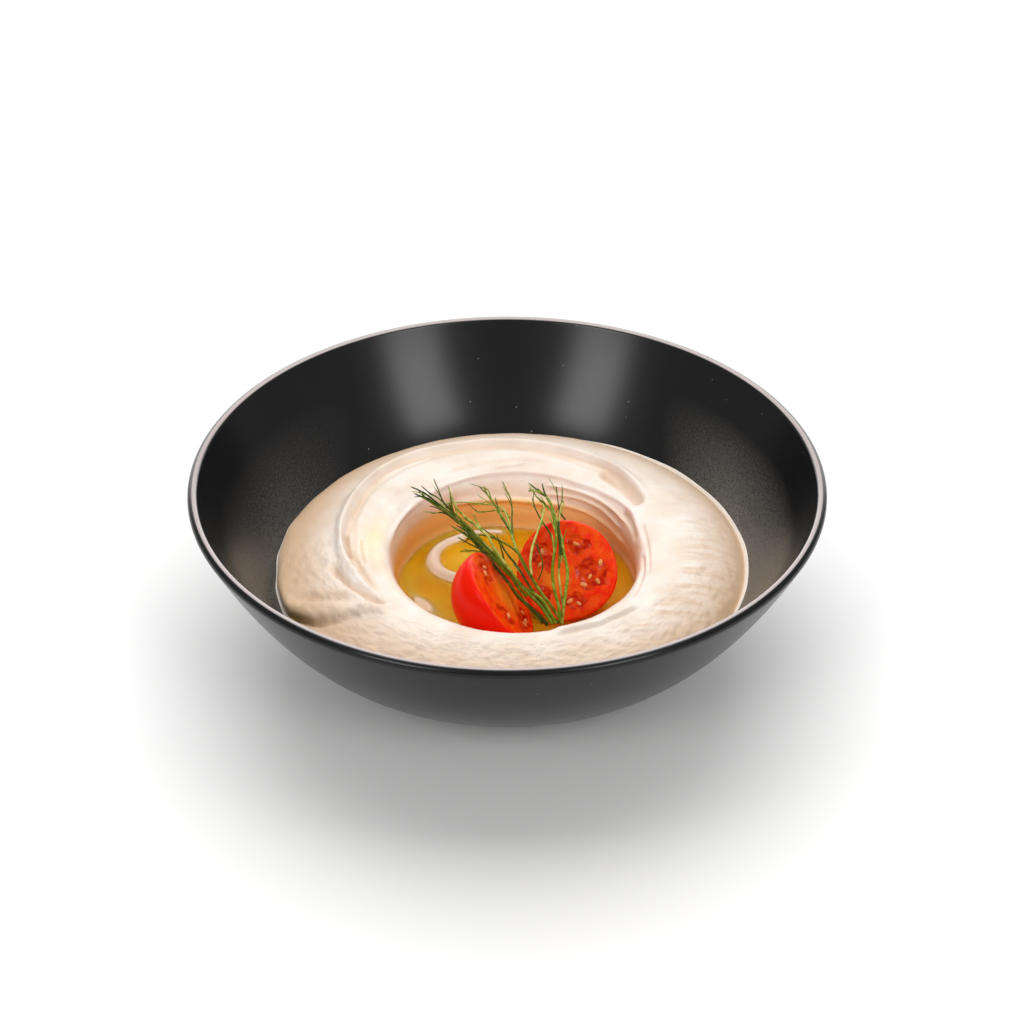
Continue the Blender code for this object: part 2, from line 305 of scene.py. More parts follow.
def bowl_profile():
    """From the middle of the floor up the inside, over the lip, down the outside and under the foot."""
    inside = bezier(*INNER, 40)
    outside = bezier(*OUTER, 40)[::-1]
    lip = arc((BOWL_RADIUS - LIP, BOWL_HEIGHT - LIP), LIP, 148, -18, 14)
    across = np.arange(0.0, 40.0, 8.0)
    floor = np.stack([across, FLOOR_HEIGHT + 0.2 * (across / FLOOR_RADIUS) ** 4], 1)
    foot_out = arc((FOOT_OUT - 0.7, 0.7), 0.7, 0, -90, 5)
    foot_in = arc((FOOT_IN + 0.7, 0.7), 0.7, -90, -180, 5)
    recess = arc((FOOT_IN - 1.2, 1.8), 1.2, 0, 90, 5)
    middle = np.array([(24.0, 3.0), (12.0, 3.0), (0.0, 3.0)])
    glaze_line = np.array([(FOOT_OUT + 0.05, 2.6), (FOOT_OUT, 1.6)])
    return np.concatenate([floor, inside, lip, outside, glaze_line, foot_out, foot_in, recess, middle])


def wall_height(radius, pieces):
    """Height of the bowl's inner wall at this distance from its axis."""
    wall = bezier(*INNER, pieces)
    return np.interp(radius, wall[:, 0], wall[:, 1])


def revolve_tree():
    """Turns a profile that lies in the half plane of +X round the Z axis."""
    tree, given, out = new_tree("turn a profile", {
        "Segments": "NodeSocketInt", "Material": "NodeSocketMaterial",
    })
    profile, segments = given.outputs["Geometry"], given.outputs["Segments"]
    count = add_node(tree, "GeometryNodeAttributeDomainSize", {"Geometry": profile}).outputs["Point Count"]
    rows = maths(tree, "ADD", segments, 1.0)
    sheet = add_node(tree, "GeometryNodeMeshGrid", {"Vertices X": count, "Vertices Y": rows})
    index = add_node(tree, "GeometryNodeInputIndex").outputs[0]
    column = maths(tree, "FLOOR", maths(tree, "DIVIDE", index, rows))
    turn = maths(tree, "DIVIDE", maths(tree, "MODULO", index, rows), segments)
    place = add_node(tree, "GeometryNodeInputPosition").outputs[0]
    spot = add_node(tree, "GeometryNodeSampleIndex", {
        "Geometry": profile, "Value": place, "Index": column,
    }, data_type="FLOAT_VECTOR", domain="POINT")
    turned = add_node(tree, "ShaderNodeVectorRotate", {
        "Vector": spot.outputs[0], "Angle": maths(tree, "MULTIPLY", turn, math.tau),
    }, rotation_type="Z_AXIS")
    moved = add_node(tree, "GeometryNodeSetPosition", {
        "Geometry": sheet.outputs["Mesh"], "Position": turned.outputs[0],
    })
    marked = add_node(tree, "GeometryNodeStoreNamedAttribute", {
        "Geometry": moved.outputs[0], "Name": "along", "Value": maths(tree, "DIVIDE", column, count),
    }, data_type="FLOAT", domain="POINT")
    closed = add_node(tree, "GeometryNodeMergeByDistance", {
        "Geometry": marked.outputs[0], "Distance": 0.002 * MM,
    })
    close_tree(tree, closed.outputs[0], given.outputs["Material"], out)
    return tree


def stoneware(settings):
    """Stoneware fired with a satin black glaze: smooth soft reflections, a dusting of fine grain, a painted
    glare beside the food, and a painted highlight band along the lip."""
    material, tree, shader = new_material("satin black glazed stoneware", IOR=1.5)
    where, along = object_place(tree), mask(tree, "along")
    grain, clouds = noise(tree, where, 0.6, 3.0), noise(tree, where, 34.0, 3.0)
    dust = spread(tree, cells(tree, where, 7.0), 0.022, 0.034, 1.0, 0.0)
    colour = blend_colours(tree, spread(tree, clouds, 0.35, 0.7), settings.glaze, settings.glaze_worn)
    colour = blend_colours(tree, dust, colour, linear("#8E8C8A"))

    # Painted glare: a grainy grey patch low on the inner wall, left and right beside the food, standing for
    # its reflection
    spot = add_node(tree, "ShaderNodeSeparateXYZ", {0: where})
    to_right = spread(tree, spot.outputs["X"], 50.0 * MM, 70.0 * MM)
    to_left = spread(tree, spot.outputs["X"], -50.0 * MM, -72.0 * MM, 0.0, 0.4)
    near_food = spread(tree, spot.outputs["Z"], 44.0 * MM, 24.0 * MM)
    indoors = spread(tree, along, 0.36, 0.35)
    grainy = spread(tree, grain, 0.35, 0.68, 0.35, 1.0)
    painted_glare = maths(tree, "ADD", to_right, to_left)
    for share in (near_food, indoors, grainy):
        painted_glare = maths(tree, "MULTIPLY", painted_glare, share)
    colour = blend_colours(tree, painted_glare, colour, settings.painted_glare)

    # Painted highlight: a pale band round the lip's inner shoulder, standing for the bright backdrop
    # mirrored in it
    from_lip = maths(tree, "ABSOLUTE", maths(tree, "SUBTRACT", along, LIP_PLACE))
    colour = blend_colours(tree, spread(tree, from_lip, 0.020, 0.012, 0.0, 0.9), colour, settings.lip)
    rough = maths(tree, "ADD", spread(tree, painted_glare, 0.0, 1.0, 0.0, 0.22),
                  spread(tree, grain, 0.3, 0.7, settings.gloss - 0.01, settings.gloss + 0.02))
    drive(tree, shader, Base_Color=colour, Roughness=rough,
          Specular_IOR_Level=spread(tree, along, 0.40, 0.42, 0.42, 0.30))
    fine_relief(tree, shader, grain, 0.05, 0.02)
    return material


# ---------------------------------------------------------------- hummus

# The section from the edge on the bowl's wall, over the ring, down the well and to its middle:
# radius, height, share of the way from the filling's centre to the well's, samples to the next
SECTION = (
    (FILL_RADIUS + 0.35, 23.7, 0.0, 4), (FILL_RADIUS - 0.35, 24.7, 0.0, 6), (68.4, 26.6, 0.1, 10),
    (63.6, 28.6, 0.3, 13), (58.6, 29.9, 0.5, 16), (54.0, 30.7, 0.7, 18), (49.6, 30.8, 0.9, 18),
    (45.6, 30.4, 1.0, 18), (42.4, 29.5, 1.0, 18), (40.0, 27.6, 1.0, 16), (38.7, 24.0, 1.0, 15),
    (38.3, 19.5, 1.0, 15), (37.9, 15.5, 1.0, 10), (35.8, 12.3, 1.0, 8), (30.0, 11.4, 1.0, 9),
    (15.0, 11.2, 1.0, 5), (0.0, 11.2, 1.0, 0),
)

# How the sides of the ring differ: centre and half width in azimuth, then what each station gains
SIDES_HEIGHT = (
    (270.0, 52.0, (0, -0.4, -1.2, -2.4, -3.1, -3.4, -2.9, -2.0, -1.1, -0.5, 0, 0, 0, 0, 0, 0, 0)),
    (185.0, 48.0, (0, -0.2, -0.6, -0.9, -0.6, -0.1, 0, 0, 0, 0, 0, 0, 0, 0, 0, 0, 0)),
)
SIDES_RADIUS = (
    (95.0, 50.0, (0, 0, 0, 0, 0, 0, 0, 0.2, 0.3, -0.2, -0.6, -0.6, 0, 0, 0, 0, 0)),
    (84.0, 26.0, (0, 0, 0, 0, 0, 0, 0, 0, 0, -0.4, -2.2, -4.4, -5.5, -5.5, -3.0, 0, 0)),
    (5.0, 45.0, (0, 0, 0, 0, 0, 0, -0.4, -1.0, -1.7, -2.0, -2.0, -1.8, -1.2, -0.6, 0, 0, 0)),
    (185.0, 35.0, (0, 0, 0, 0, 0, 0, 0, -0.3, -0.7, -0.9, -0.9, -0.8, -0.5, 0, 0, 0, 0)),
)

# Spoon marks that run round the ring: kind, half width, height, and places as (azimuth, station)
MARKS = (
    ("curl", 1.7, 1.15, ((214, 6.3), (200, 5.9), (186, 5.4), (174, 5.1), (160, 4.8), (148, 4.35),
                         (136, 3.95), (124, 3.8), (112, 4.1), (98, 4.35), (86, 4.65), (74, 4.95), (62, 5.3),
                         (50, 5.5), (40, 6.0), (29, 6.7))),
    ("groove", 1.1, 0.42, ((208, 6.5), (186, 6.05), (173, 5.9), (162, 5.4), (150, 5.1), (138, 4.9),
                           (126, 4.9), (114, 4.9), (100, 5.0), (88, 5.25), (76, 5.8), (64, 6.2), (50, 6.3),
                           (36, 6.8))),
    ("groove", 2.0, 1.9, ((56, 6.3), (46, 6.45), (38, 6.75), (30, 7.1))),
    ("ridge", 0.9, 0.45, ((178, 9.0), (150, 8.85), (122, 8.5), (106, 8.35), (88, 8.3), (74, 8.4), (62, 8.45),
                          (48, 8.4), (38, 8.25), (26, 8.2), (14, 8.6), (0, 8.9))),
    ("groove", 0.7, 0.28, ((100, 8.0), (93, 7.8), (86, 7.3))),
    ("groove", 0.9, 0.25, ((120, 7.3), (105, 6.9), (92, 6.6), (75, 6.7))),
    ("ridge", 0.55, 0.5, ((76, 9.25), (53, 9.15), (40, 9.2), (25, 9.35))),
    ("ridge", 0.55, 0.5, ((76, 9.8), (56, 9.65), (45, 9.7), (28, 10.1))),
    ("ridge", 0.7, 0.55, ((74, 10.3), (54, 10.4), (41, 10.6), (22, 10.95))),
    ("curl", 1.3, 0.7, ((122, 10.2), (108, 10.35), (93, 10.35), (84, 10.4), (66, 10.55))),
    ("groove", 1.1, 1.3, ((33, 8.65), (26, 8.9), (20, 9.1), (13, 9.4))),
    ("groove", 0.7, 0.4, ((358, 9.0), (350, 8.8), (339, 8.4), (330, 8.0), (322, 7.6))),
    ("groove", 0.6, 0.3, ((20, 8.2), (5, 8.3), (352, 8.2), (340, 7.8))),
    ("step", 1.1, 0.8, ((320, 6.6), (309, 7.0), (302, 7.1), (296, 7.4), (290, 7.55), (284, 7.5))),
    ("groove", 1.4, 1.7, ((190, 4.6), (196, 4.8), (203, 5.1), (209, 5.6), (217, 6.1))),
    ("groove", 3.4, 0.9, ((199, 2.3), (203, 2.8), (206, 3.6), (209, 4.4), (214, 5.2))),
    ("groove", 0.5, 0.8, ((174, 5.45), (180, 5.6), (187, 5.85))),
    ("groove", 0.5, 0.5, ((176, 6.5), (184, 6.6), (192, 6.7))),
    ("groove", 1.4, 0.18, ((205, 7.5), (185, 7.3), (165, 7.1), (145, 6.9), (125, 6.7))),
)

# The crease of the fold at the front left, from the bowl's wall inwards
FOLD_STATIONS = (0.6, 1.5, 2.3, 2.9, 3.6, 4.5, 5.2, 6.4)
FOLD_AZIMUTHS = (203.0, 206.0, 211.0, 213.0, 214.5, 216.5, 219.0, 224.0)


def mark_shape(kind, across, half_width, height):
    """The relief across a spoon mark; across is positive towards the well."""
    if kind == "groove":
        return -height * bump(across, 0.0, half_width)
    if kind == "ridge":
        return height * bump(across, 0.0, half_width)
    if kind == "step":
        inner = smoothstep(-half_width, half_width, across)
        inner = inner * np.exp(-np.maximum(across, 0.0) / (4 * half_width))
        return height * (inner - 0.5 * bump(across, -0.4 * half_width, 0.6 * half_width))
    gentle = bump(across, 0.0, half_width)
    steep = bump(across, 0.0, 0.38 * half_width)
    trough = bump(across, 1.15 * half_width, 0.65 * half_width)
    return height * (np.where(across < 0.0, gentle, steep) - 0.6 * trough)


def catmull(knots, where):
    """Smooth curves through rows of knots, read at the same places on each row."""
    last = knots.shape[1] - 1
    i = np.minimum(where.astype(int), last - 1)
    t = where - i
    p0, p1, p2, p3 = (knots[:, np.clip(i + k, 0, last)] for k in (-1, 0, 1, 2))
    return 0.5 * (2 * p1 + (p2 - p0) * t + (2 * p0 - 5 * p1 + 4 * p2 - p3) * t ** 2
                  + (3 * p1 - p0 - 3 * p2 + p3) * t ** 3)


def ring_section(azimuths):
    """Radius, height and centre share at every azimuth and sample, with the sample places."""
    places = []
    for station, (_, _, _, samples) in enumerate(SECTION[:-1]):
        places.extend(station + k / samples for k in range(samples))
    places = np.array(places + [len(SECTION) - 1.0])
    azimuths = azimuths[:, None]
    radius, height, share = (np.array(column)[None, :] + 0 * azimuths for column in list(zip(*SECTION))[:3])
    for centre, half_width, gains in SIDES_HEIGHT:
        height = height + bump(turn_from(azimuths, centre), 0.0, half_width) * np.array(gains)
    for centre, half_width, gains in SIDES_RADIUS:
        radius = radius + bump(turn_from(azimuths, centre), 0.0, half_width) * np.array(gains)
    return places, catmull(radius, places), catmull(height, places), catmull(share, places)


def along_mark(azimuths, places):
    """Where a mark lies at each azimuth, and how far along it that is, or outside 0 to 1 off its ends."""
    turns = np.unwrap([p[0] for p in places], period=360.0)
    low, high = min(turns[0], turns[-1]), max(turns[0], turns[-1])
    middle = (low + high) / 2
    here = middle + turn_from(azimuths, middle)
    order = np.argsort(turns)
    station = np.interp(here, turns[order], np.array([p[1] for p in places])[order])
    return station, (here - low) / (high - low)


def spoon_marks(azimuths, places, lengths):
    """Relief of all the marks round the ring; lengths are the distances along each section."""
    relief = np.zeros_like(lengths)
    for kind, half_width, height, route in MARKS:
        station, along = along_mark(azimuths, route)
        fade = smoothstep(-0.02, 0.12, along) * (1.0 - smoothstep(0.9, 1.02, along))
        start = np.array([np.interp(s, places, row) for s, row in zip(station, lengths)])
        wander = 1.0 + 0.22 * np.sin(np.radians(azimuths) * 9.0 + height * 40.0)
        across = lengths - start[:, None]
        relief += fade[:, None] * mark_shape(kind, across, half_width * wander[:, None], height)
    return relief


def spoon_fold(azimuths, places, radius):
    """The fold at the front left, where the last stroke ends in a lobe over the one before."""
    crease = np.interp(places, FOLD_STATIONS, FOLD_AZIMUTHS)
    across = np.radians(turn_from(azimuths[:, None], crease[None, :])) * radius
    reach = 6.5
    behind = np.clip(-across / reach, 0.0, None)
    lobe = 1.7 * behind * np.exp(1.0 - behind) * (across < 0.0)
    groove = -0.9 * bump(across, 0.3, 1.1) * (1.0 - smoothstep(1.5, 4.0, places))[None, :]
    fade = smoothstep(0.3, 1.6, places) * (1.0 - smoothstep(4.6, 6.6, places))
    return (lobe + groove) * fade[None, :]


def well_curl(x, y):
    """The spoon's last curl on the floor of the well, and a fainter one outside it."""
    dx, dy = x + 11.3, y - 16.2
    turn = np.degrees(np.arctan2(dy, dx)) % 360.0
    reach = np.hypot(dx, dy)
    path = 11.6 + 6.0 * (1.0 - smoothstep(48.0, 120.0, turn)) - 0.9 * smoothstep(200.0, 290.0, turn)
    seen = smoothstep(40.0, 62.0, turn) * (1.0 - smoothstep(275.0, 310.0, turn))
    across = reach - path
    side = np.where(across > 0.0, 3.6, 2.5)
    ridge = np.exp(-np.abs(across / side) ** 2.2)
    outer = 1.6 * bump(np.hypot(x + 6.0, y - 7.0), 25.0, 3.2) * smoothstep(165.0, 200.0, turn)
    inside = 1.9 * bump(reach, 0.0, 8.0)
    deep = -2.4 * bump(np.hypot((x + 27.0) / 1.1, y - 22.0), 0.0, 7.0)
    shallow = 1.0 * bump(np.hypot(x + 26.0, y + 10.0), 0.0, 9.0)
    floor = outer + inside + deep + shallow
    swell = 0.8 * bump(np.hypot((x + 23.6) / 9.0, (y + 6.2) / 5.0), 0.0, 1.0)
    return floor + seen * ridge * (4.3 - floor) + swell


def pressed_by_tomatoes(points):
    """Push the hummus out of the way of the tomato halves."""
    for name in TOMATO_HALVES:
        away = points - np.array(tomato_place(name)[0])
        distance = np.linalg.norm(away, axis=1)
        keep = TOMATO_RADIUS + 0.25
        near = (distance < keep) & (points[:, 2] > OIL_LEVEL - 3.5)
        push = np.where(near, keep / np.maximum(distance, 0.001), 1.0)
        flat = np.array([1.0, 1.0, 0.6])
        points += (away * (push - 1.0)[:, None]) * flat
    return points


def relief_tree():
    """Gives a spread surface its unevenness: slow waves, crumbs where it tore, and short smears."""
    inputs = {"Material": "NodeSocketMaterial"}
    for label in ("Wave", "Crumb", "Smear"):
        inputs.update({label + " Size": "NodeSocketFloat", label + " Height": "NodeSocketFloat"})
    tree, given, out = new_tree("paste relief", inputs)
    place = add_node(tree, "GeometryNodeInputPosition").outputs[0]
    normal = add_node(tree, "GeometryNodeInputNormal").outputs[0]
    total = 0.0
    for label, name, stretch, detail in (
        ("Wave", "free", (1.0, 1.0, 1.0), 2.0), ("Crumb", "torn", (1.0, 1.0, 1.4), 3.5),
        ("Smear", "smeared", (0.30, 1.0, 1.0), 2.5),
    ):
        waves = add_node(tree, "ShaderNodeTexNoise", {
            "Vector": stretched(tree, place, stretch), "Detail": detail, "Roughness": 0.62,
            "Scale": maths(tree, "DIVIDE", 1.0, given.outputs[label + " Size"]),
        })
        centred = maths(tree, "SUBTRACT", waves.outputs[0], 0.5)
        masked = maths(tree, "MULTIPLY", centred, stored(tree, name))
        total = maths(tree, "ADD", total, maths(tree, "MULTIPLY", masked, given.outputs[label + " Height"]))
    push = add_node(tree, "ShaderNodeVectorMath", {0: normal, "Scale": total}, operation="SCALE")
    moved = add_node(tree, "GeometryNodeSetPosition", {
        "Geometry": given.outputs["Geometry"], "Offset": push.outputs[0],
    })
    close_tree(tree, moved.outputs[0], given.outputs["Material"], out)
    return tree


def under_side(azimuths):
    """Rows of points on the filling's underside, just inside the bowl's wall, from the edge inwards."""
    sunk = 0.25                              # reaches this far into the wall, so no gap shows
    rows = []
    for radius in (66.0, 58.0, 50.0, 42.0, 30.0, 15.0):
        z = wall_height(radius, 40) if radius > FLOOR_RADIUS else FLOOR_HEIGHT + 0.1
        rows.append(ring_points(FILL_CENTRE.x * radius / FILL_RADIUS, 0.0, radius, azimuths, z - sunk))
    return rows


def edge_smear(azimuths, uneven):
    """Rows of points where the filling thins out on the bowl's wall, from the outside in."""
    rows = []
    for reach, above in ((0.95, -0.15), (0.7, 0.18), (0.45, 0.24)):
        row = ring_points(FILL_CENTRE.x, FILL_CENTRE.y, FILL_RADIUS + reach + uneven, azimuths, 0.0)
        row[:, 2] = wall_height(np.hypot(row[:, 0], row[:, 1]), 80) + above
        rows.append(row)
    return rows


def paste_masks(azimuths, places, relief):
    """How far each state of the paste, and each painted shade on it, holds at every azimuth and sample, by
    the name it is stored under.
    """
    az, st = np.meshgrid(azimuths, places, indexing="ij")

    def near(azimuth, half_width):
        return bump(turn_from(az, azimuth), 0.0, half_width)

    def between(start, full, fading, end):
        return smoothstep(start, full, st) * (1.0 - smoothstep(fading, end, st))

    at_back, at_front, at_left = near(92.0, 42.0), near(270.0, 50.0), near(175.0, 50.0)
    on_ring = between(0.4, 1.6, 12.0, 13.5)
    torn = 1.15 * near(268.0, 62.0) * between(1.0, 2.5, 6.0, 7.4)
    torn += 0.55 * near(190.0, 14.0) * bump(st, 3.9, 1.6)
    stain = near(176.0, 15.0) * bump(st, 7.4, 1.0) + 0.5 * near(208.0, 16.0) * bump(st, 8.3, 0.6)
    # Oil film and painted shade: golden orange on the well's wall for the oil that wets it and for the dim
    # light in the well; a little also on the wall's top
    oil_film_and_shade = at_back * smoothstep(10.0, 10.4, st) + (1.0 - at_back) * smoothstep(9.3, 11.2, st)
    oil_film_and_shade = np.maximum(oil_film_and_shade, 0.24 * smoothstep(8.9, 9.7, st))
    oil_film_and_shade = oil_film_and_shade * (1.0 - smoothstep(12.1, 12.9, st)) * (1.0 - 0.5 * near(20.0, 40.0))
    # Painted shade: tan on the outer slopes, reaching further in at the front and left, and on the top of
    # the well's wall
    shade_from, shade_to = 0.8 + 0.9 * at_front + 1.3 * at_left, 5.0 + 3.4 * at_front + near(215.0, 22.0)
    painted_shade_share = 1.0 - smoothstep(shade_from, shade_to, st)
    painted_shade_share = painted_shade_share * (0.95 + 0.05 * near(325.0, 42.0)) + (0.55 - 0.45 * at_back) * smoothstep(8.6, 9.6, st)
    crease_radius = 62.0                     # mean distance of the fold's crease from the centre
    crease = np.interp(st, FOLD_STATIONS, FOLD_AZIMUTHS)
    from_crease = np.radians(turn_from(az, crease)) * crease_radius
    return {
        # Painted shadow in the fold's crease, near the bowl's wall
        "painted_crease_shadow": bump(from_crease, -0.6, 1.5) * between(0.2, 0.6, 1.2, 3.2),
        # Painted shade: tan where the relief sinks into grooves
        "sunk": np.clip(-relief / 0.9, 0.0, 1.0),
        "free": on_ring,
        "torn": np.clip(torn, 0.0, 1.0) + 0.12 * on_ring,
        "smeared": near(338.0, 42.0) * between(0.8, 2.0, 5.0, 6.5),
        "oiled": stain,
        "oil_film_and_shade": oil_film_and_shade,
        "painted_shade_share": painted_shade_share,
        "edge": 1.0 - smoothstep(0.5, 1.1, st),
    }


def hummus_mesh(settings):
    """The paste as one closed skin: its underside, the smear on the wall, the ring and the well."""
    steps = settings.steps
    azimuths = np.arange(steps) * 360.0 / steps
    turns = np.radians(azimuths)
    places, radius, height, share = ring_section(azimuths)
    dr = np.gradient(radius, places, axis=1)
    dz = np.gradient(height, places, axis=1)
    size = np.maximum(np.hypot(dr, dz), 0.000001)
    strides = np.hypot(np.diff(radius, axis=1), np.diff(height, axis=1))
    lengths = np.concatenate([np.zeros((steps, 1)), np.cumsum(strides, axis=1)], axis=1)
    ragged = 0.16 * np.sin(turns * 11.0 + 1.0) + 0.12 * np.sin(turns * 29.0)
    ragged = ragged * bump(turn_from(azimuths, 180.0), 0.0, 40.0)
    at_edge = ragged[:, None] * (1.0 - smoothstep(0.5, 2.4, places))[None, :]
    relief = spoon_marks(azimuths, places, lengths) * settings.mark_depth
    relief += spoon_fold(azimuths, places, radius) * settings.mark_depth
    radius = radius + relief * dz / size + at_edge
    height = height - relief * dr / size + at_edge
    x = FILL_CENTRE.x + (WELL_CENTRE.x - FILL_CENTRE.x) * share + radius * np.cos(turns)[:, None]
    y = FILL_CENTRE.y + (WELL_CENTRE.y - FILL_CENTRE.y) * share + radius * np.sin(turns)[:, None]
    height = height + well_curl(x, y) * smoothstep(12.2, 14.2, places)[None, :]
    points = np.stack([x, y, height], 2)
    upper = pressed_by_tomatoes(points[:, :-1].reshape(-1, 3)).reshape(steps, -1, 3)
    near_wall, clearance = 60.0, 0.22        # distance from the bowl's axis, and height kept over its wall
    from_axis = np.hypot(upper[..., 0], upper[..., 1])
    lowest = np.where(from_axis > near_wall, wall_height(from_axis, 80) + clearance, -1000.0)
    upper[..., 2] = np.maximum(upper[..., 2], lowest)

    uneven = 0.08 * np.sin(7.0 * turns + 2.0) + 0.06 * np.sin(19.0 * turns) + ragged
    outer = under_side(azimuths)[::-1] + edge_smear(azimuths, uneven)
    rings = outer + [upper[:, i] for i in range(upper.shape[1])]
    top, bottom = len(rings) * steps, len(rings) * steps + 1
    faces = quads_between(len(rings), steps, flip=True)
    faces += fan(top - steps, steps, top) + fan(0, steps, bottom, flip=True)
    middles = [points[:, -1].mean(axis=0)[None, :], np.array([[0.0, 0.0, FLOOR_HEIGHT]])]
    piece = mesh_from("hummus_swirl", np.concatenate(rings + middles), faces)
    for name, values in paste_masks(azimuths, places[:-1], relief[:, :-1]).items():
        at_wall = np.full(len(outer) * steps, 1.0 if name == "edge" else 0.0)
        point_attribute(piece.data, name, np.concatenate([at_wall, values.T.ravel(), [0.0, 0.0]]))
    return piece


def paste(settings):
    """Hummus whipped smooth: light goes a little way in and comes out warm, with a moist soft shine; its
    slopes, grooves, crease and well carry painted shade.
    """
    material, tree, shader = new_material(
        "whipped chickpea paste", IOR=1.42, Subsurface_Weight=0.2, Subsurface_Scale=1.2 * MM,
        Subsurface_Radius=(1.0, 0.62, 0.32), Specular_IOR_Level=0.35,
    )
    where = object_place(tree)
    soft, fine = noise(tree, where, 9.0, 4.0), noise(tree, where, 0.8, 3.0)
    streaks = noise(tree, stretched(tree, where, (0.16, 1.0, 1.0)), 2.2, 3.0)
    streaks = maths(tree, "MULTIPLY", spread(tree, streaks, 0.46, 0.66, 0.0, 0.6), mask(tree, "smeared"))
    height = add_node(tree, "ShaderNodeSeparateXYZ", {0: where}).outputs["Z"]
    soaked = spread(tree, height, (OIL_LEVEL + 0.6) * MM, (OIL_LEVEL - 1.2) * MM)
    oiled = mask(tree, "oiled")
    base = blend_colours(tree, spread(tree, soft, 0.35, 0.68), settings.cream, settings.cream_deep)
    for share, colour in (
        # Painted shade: tan on the outer slopes and the top of the well's wall
        (spread(tree, mask(tree, "painted_shade_share"), 0.0, 1.0, 0.0, 0.95), settings.painted_shade_and_streaks),
        (mask(tree, "edge"), linear("#F8EADC")),
        # Painted shadow in the fold's crease
        (spread(tree, mask(tree, "painted_crease_shadow"), 0.1, 0.9, 0.0, 0.85), settings.crease),
        # Painted shade in the grooves
        (spread(tree, mask(tree, "sunk"), 0.05, 0.9, 0.0, 0.38), settings.painted_shade_and_streaks),
        (streaks, settings.painted_shade_and_streaks),
        # Oil film and painted shade on the well's wall
        (spread(tree, mask(tree, "oil_film_and_shade"), 0.0, 1.0, 0.0, 0.9), settings.damp_and_painted_shade),
        (soaked, settings.soaked),
        (spread(tree, oiled, 0.1, 0.9, 0.0, 0.55), linear("#F4E8B0")),
    ):
        base = blend_colours(tree, share, base, colour)
    rough = maths(tree, "SUBTRACT", spread(tree, fine, 0.3, 0.7, 0.40, 0.56),
                  spread(tree, oiled, 0.1, 0.8, 0.0, 0.28))
    drive(tree, shader, Base_Color=base, Roughness=rough)
    bubbles = spread(tree, cells(tree, where, 3.4), 0.05, 0.16)
    strength = spread(tree, mask(tree, "torn"), 0.0, 1.0, 0.4, 0.9)
    fine_relief(tree, shader, maths(tree, "ADD", fine, bubbles), strength, 0.16)
    return material


# ---------------------------------------------------------------- oil

# Rings of the oil from the middle outwards, as shares of the way to the wall: the face's rise over the
# level, then how far below it the body's rings lie, back to the middle
OIL_FACE = ((0.0, 0.0), (0.25, 0.0), (0.5, 0.0), (0.75, 0.0), (0.9, 0.0), (0.955, 0.03), (0.975, 0.12),
            (0.99, 0.3), (1.0, 0.5))
OIL_BODY = ((1.0, 0.6), (0.97, 2.4), (0.85, 5.2), (0.0, 5.4))


def olive_oil(settings):
    """Olive oil: clear, golden where it is deep, with a flat face.  Its index is set below real oil's 1.47,
    so that the lights show only faintly in it."""
    material, tree, shader = new_material(
        "olive oil", IOR=1.36, Roughness=0.02, Transmission_Weight=1.0, Base_Color=(1.0, 0.97, 0.86, 1.0))
    body = add_node(tree, "ShaderNodeVolumeAbsorption", {
        "Color": settings.oil, "Density": settings.oil_strength,
    })
    tree.links.new(body.outputs[0], tree.nodes["Material Output"].inputs["Volume"])
    return material


def oil_mesh(material):
    """A flat pool that reaches a little into the hummus all round, with its edge drawn up on the wall."""
    steps = 192
    azimuths = np.arange(steps) * 360.0 / steps
    places, radius, height, _ = ring_section(azimuths)
    inward = places > 8.0                    # past the crest the section only falls
    overlap = 0.5                            # reaches this far into the hummus, so no gap shows
    wall = np.array([np.interp(-OIL_LEVEL, -h[inward], r[inward]) for h, r in zip(height, radius)]) + overlap
    levels = []
    for share, rise in OIL_FACE:
        ripple = 0.05 * np.sin(3.0 * np.radians(azimuths) + 4.0 * share) * (share > 0.0)
        levels.append((share, OIL_LEVEL + rise + ripple))
    levels += [(share, OIL_LEVEL - drop) for share, drop in OIL_BODY]
    rows = [ring_points(WELL_CENTRE.x, WELL_CENTRE.y, wall * share, azimuths, z) for share, z in levels]
    points = np.concatenate([rows[0][:1]] + rows[1:-1] + [rows[-1][:1]])
    rings, end = len(rows) - 2, len(points) - 1
    faces = fan(1, steps, 0) + quads_between(rings, steps, first=1) + fan(end - steps, steps, end, flip=True)
    return mesh_from("olive_oil", points, faces, material)


# ---------------------------------------------------------------- tomatoes

TOMATO_RADIUS = 15.2

# The halves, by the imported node: which way the cut face looks
TOMATO_HALVES = {
    "tomato_half_left": (0.76, 0.18, 0.63),
    "tomato_half_right": (-0.05, -0.83, 0.56),
}

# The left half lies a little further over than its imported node, so more of its cut face shows
TURNED = {"tomato_half_left": (0.79, 0.03, 0.62)}

# Seed chambers on the cut face, in shares of the radius: centre, half sizes and tilt in degrees
CHAMBERS = {
    "tomato_half_left": ((0.22, 0.55, 0.46, 0.24, 10.0), (-0.12, -0.66, 0.44, 0.20, -8.0),
                         (-0.60, -0.06, 0.17, 0.36, 0.0), (0.66, -0.10, 0.18, 0.36, 0.0)),
    "tomato_half_right": ((0.50, -0.04, 0.36, 0.36, 14.0), (0.20, 0.52, 0.27, 0.21, -8.0),
                          (-0.50, 0.27, 0.25, 0.36, 28.0), (0.16, -0.62, 0.28, 0.20, 10.0),
                          (-0.48, -0.50, 0.22, 0.24, 0.0)),
}
CORES = {"tomato_half_left": (0.04, -0.12, 0.40), "tomato_half_right": (-0.26, -0.16, 0.30)}

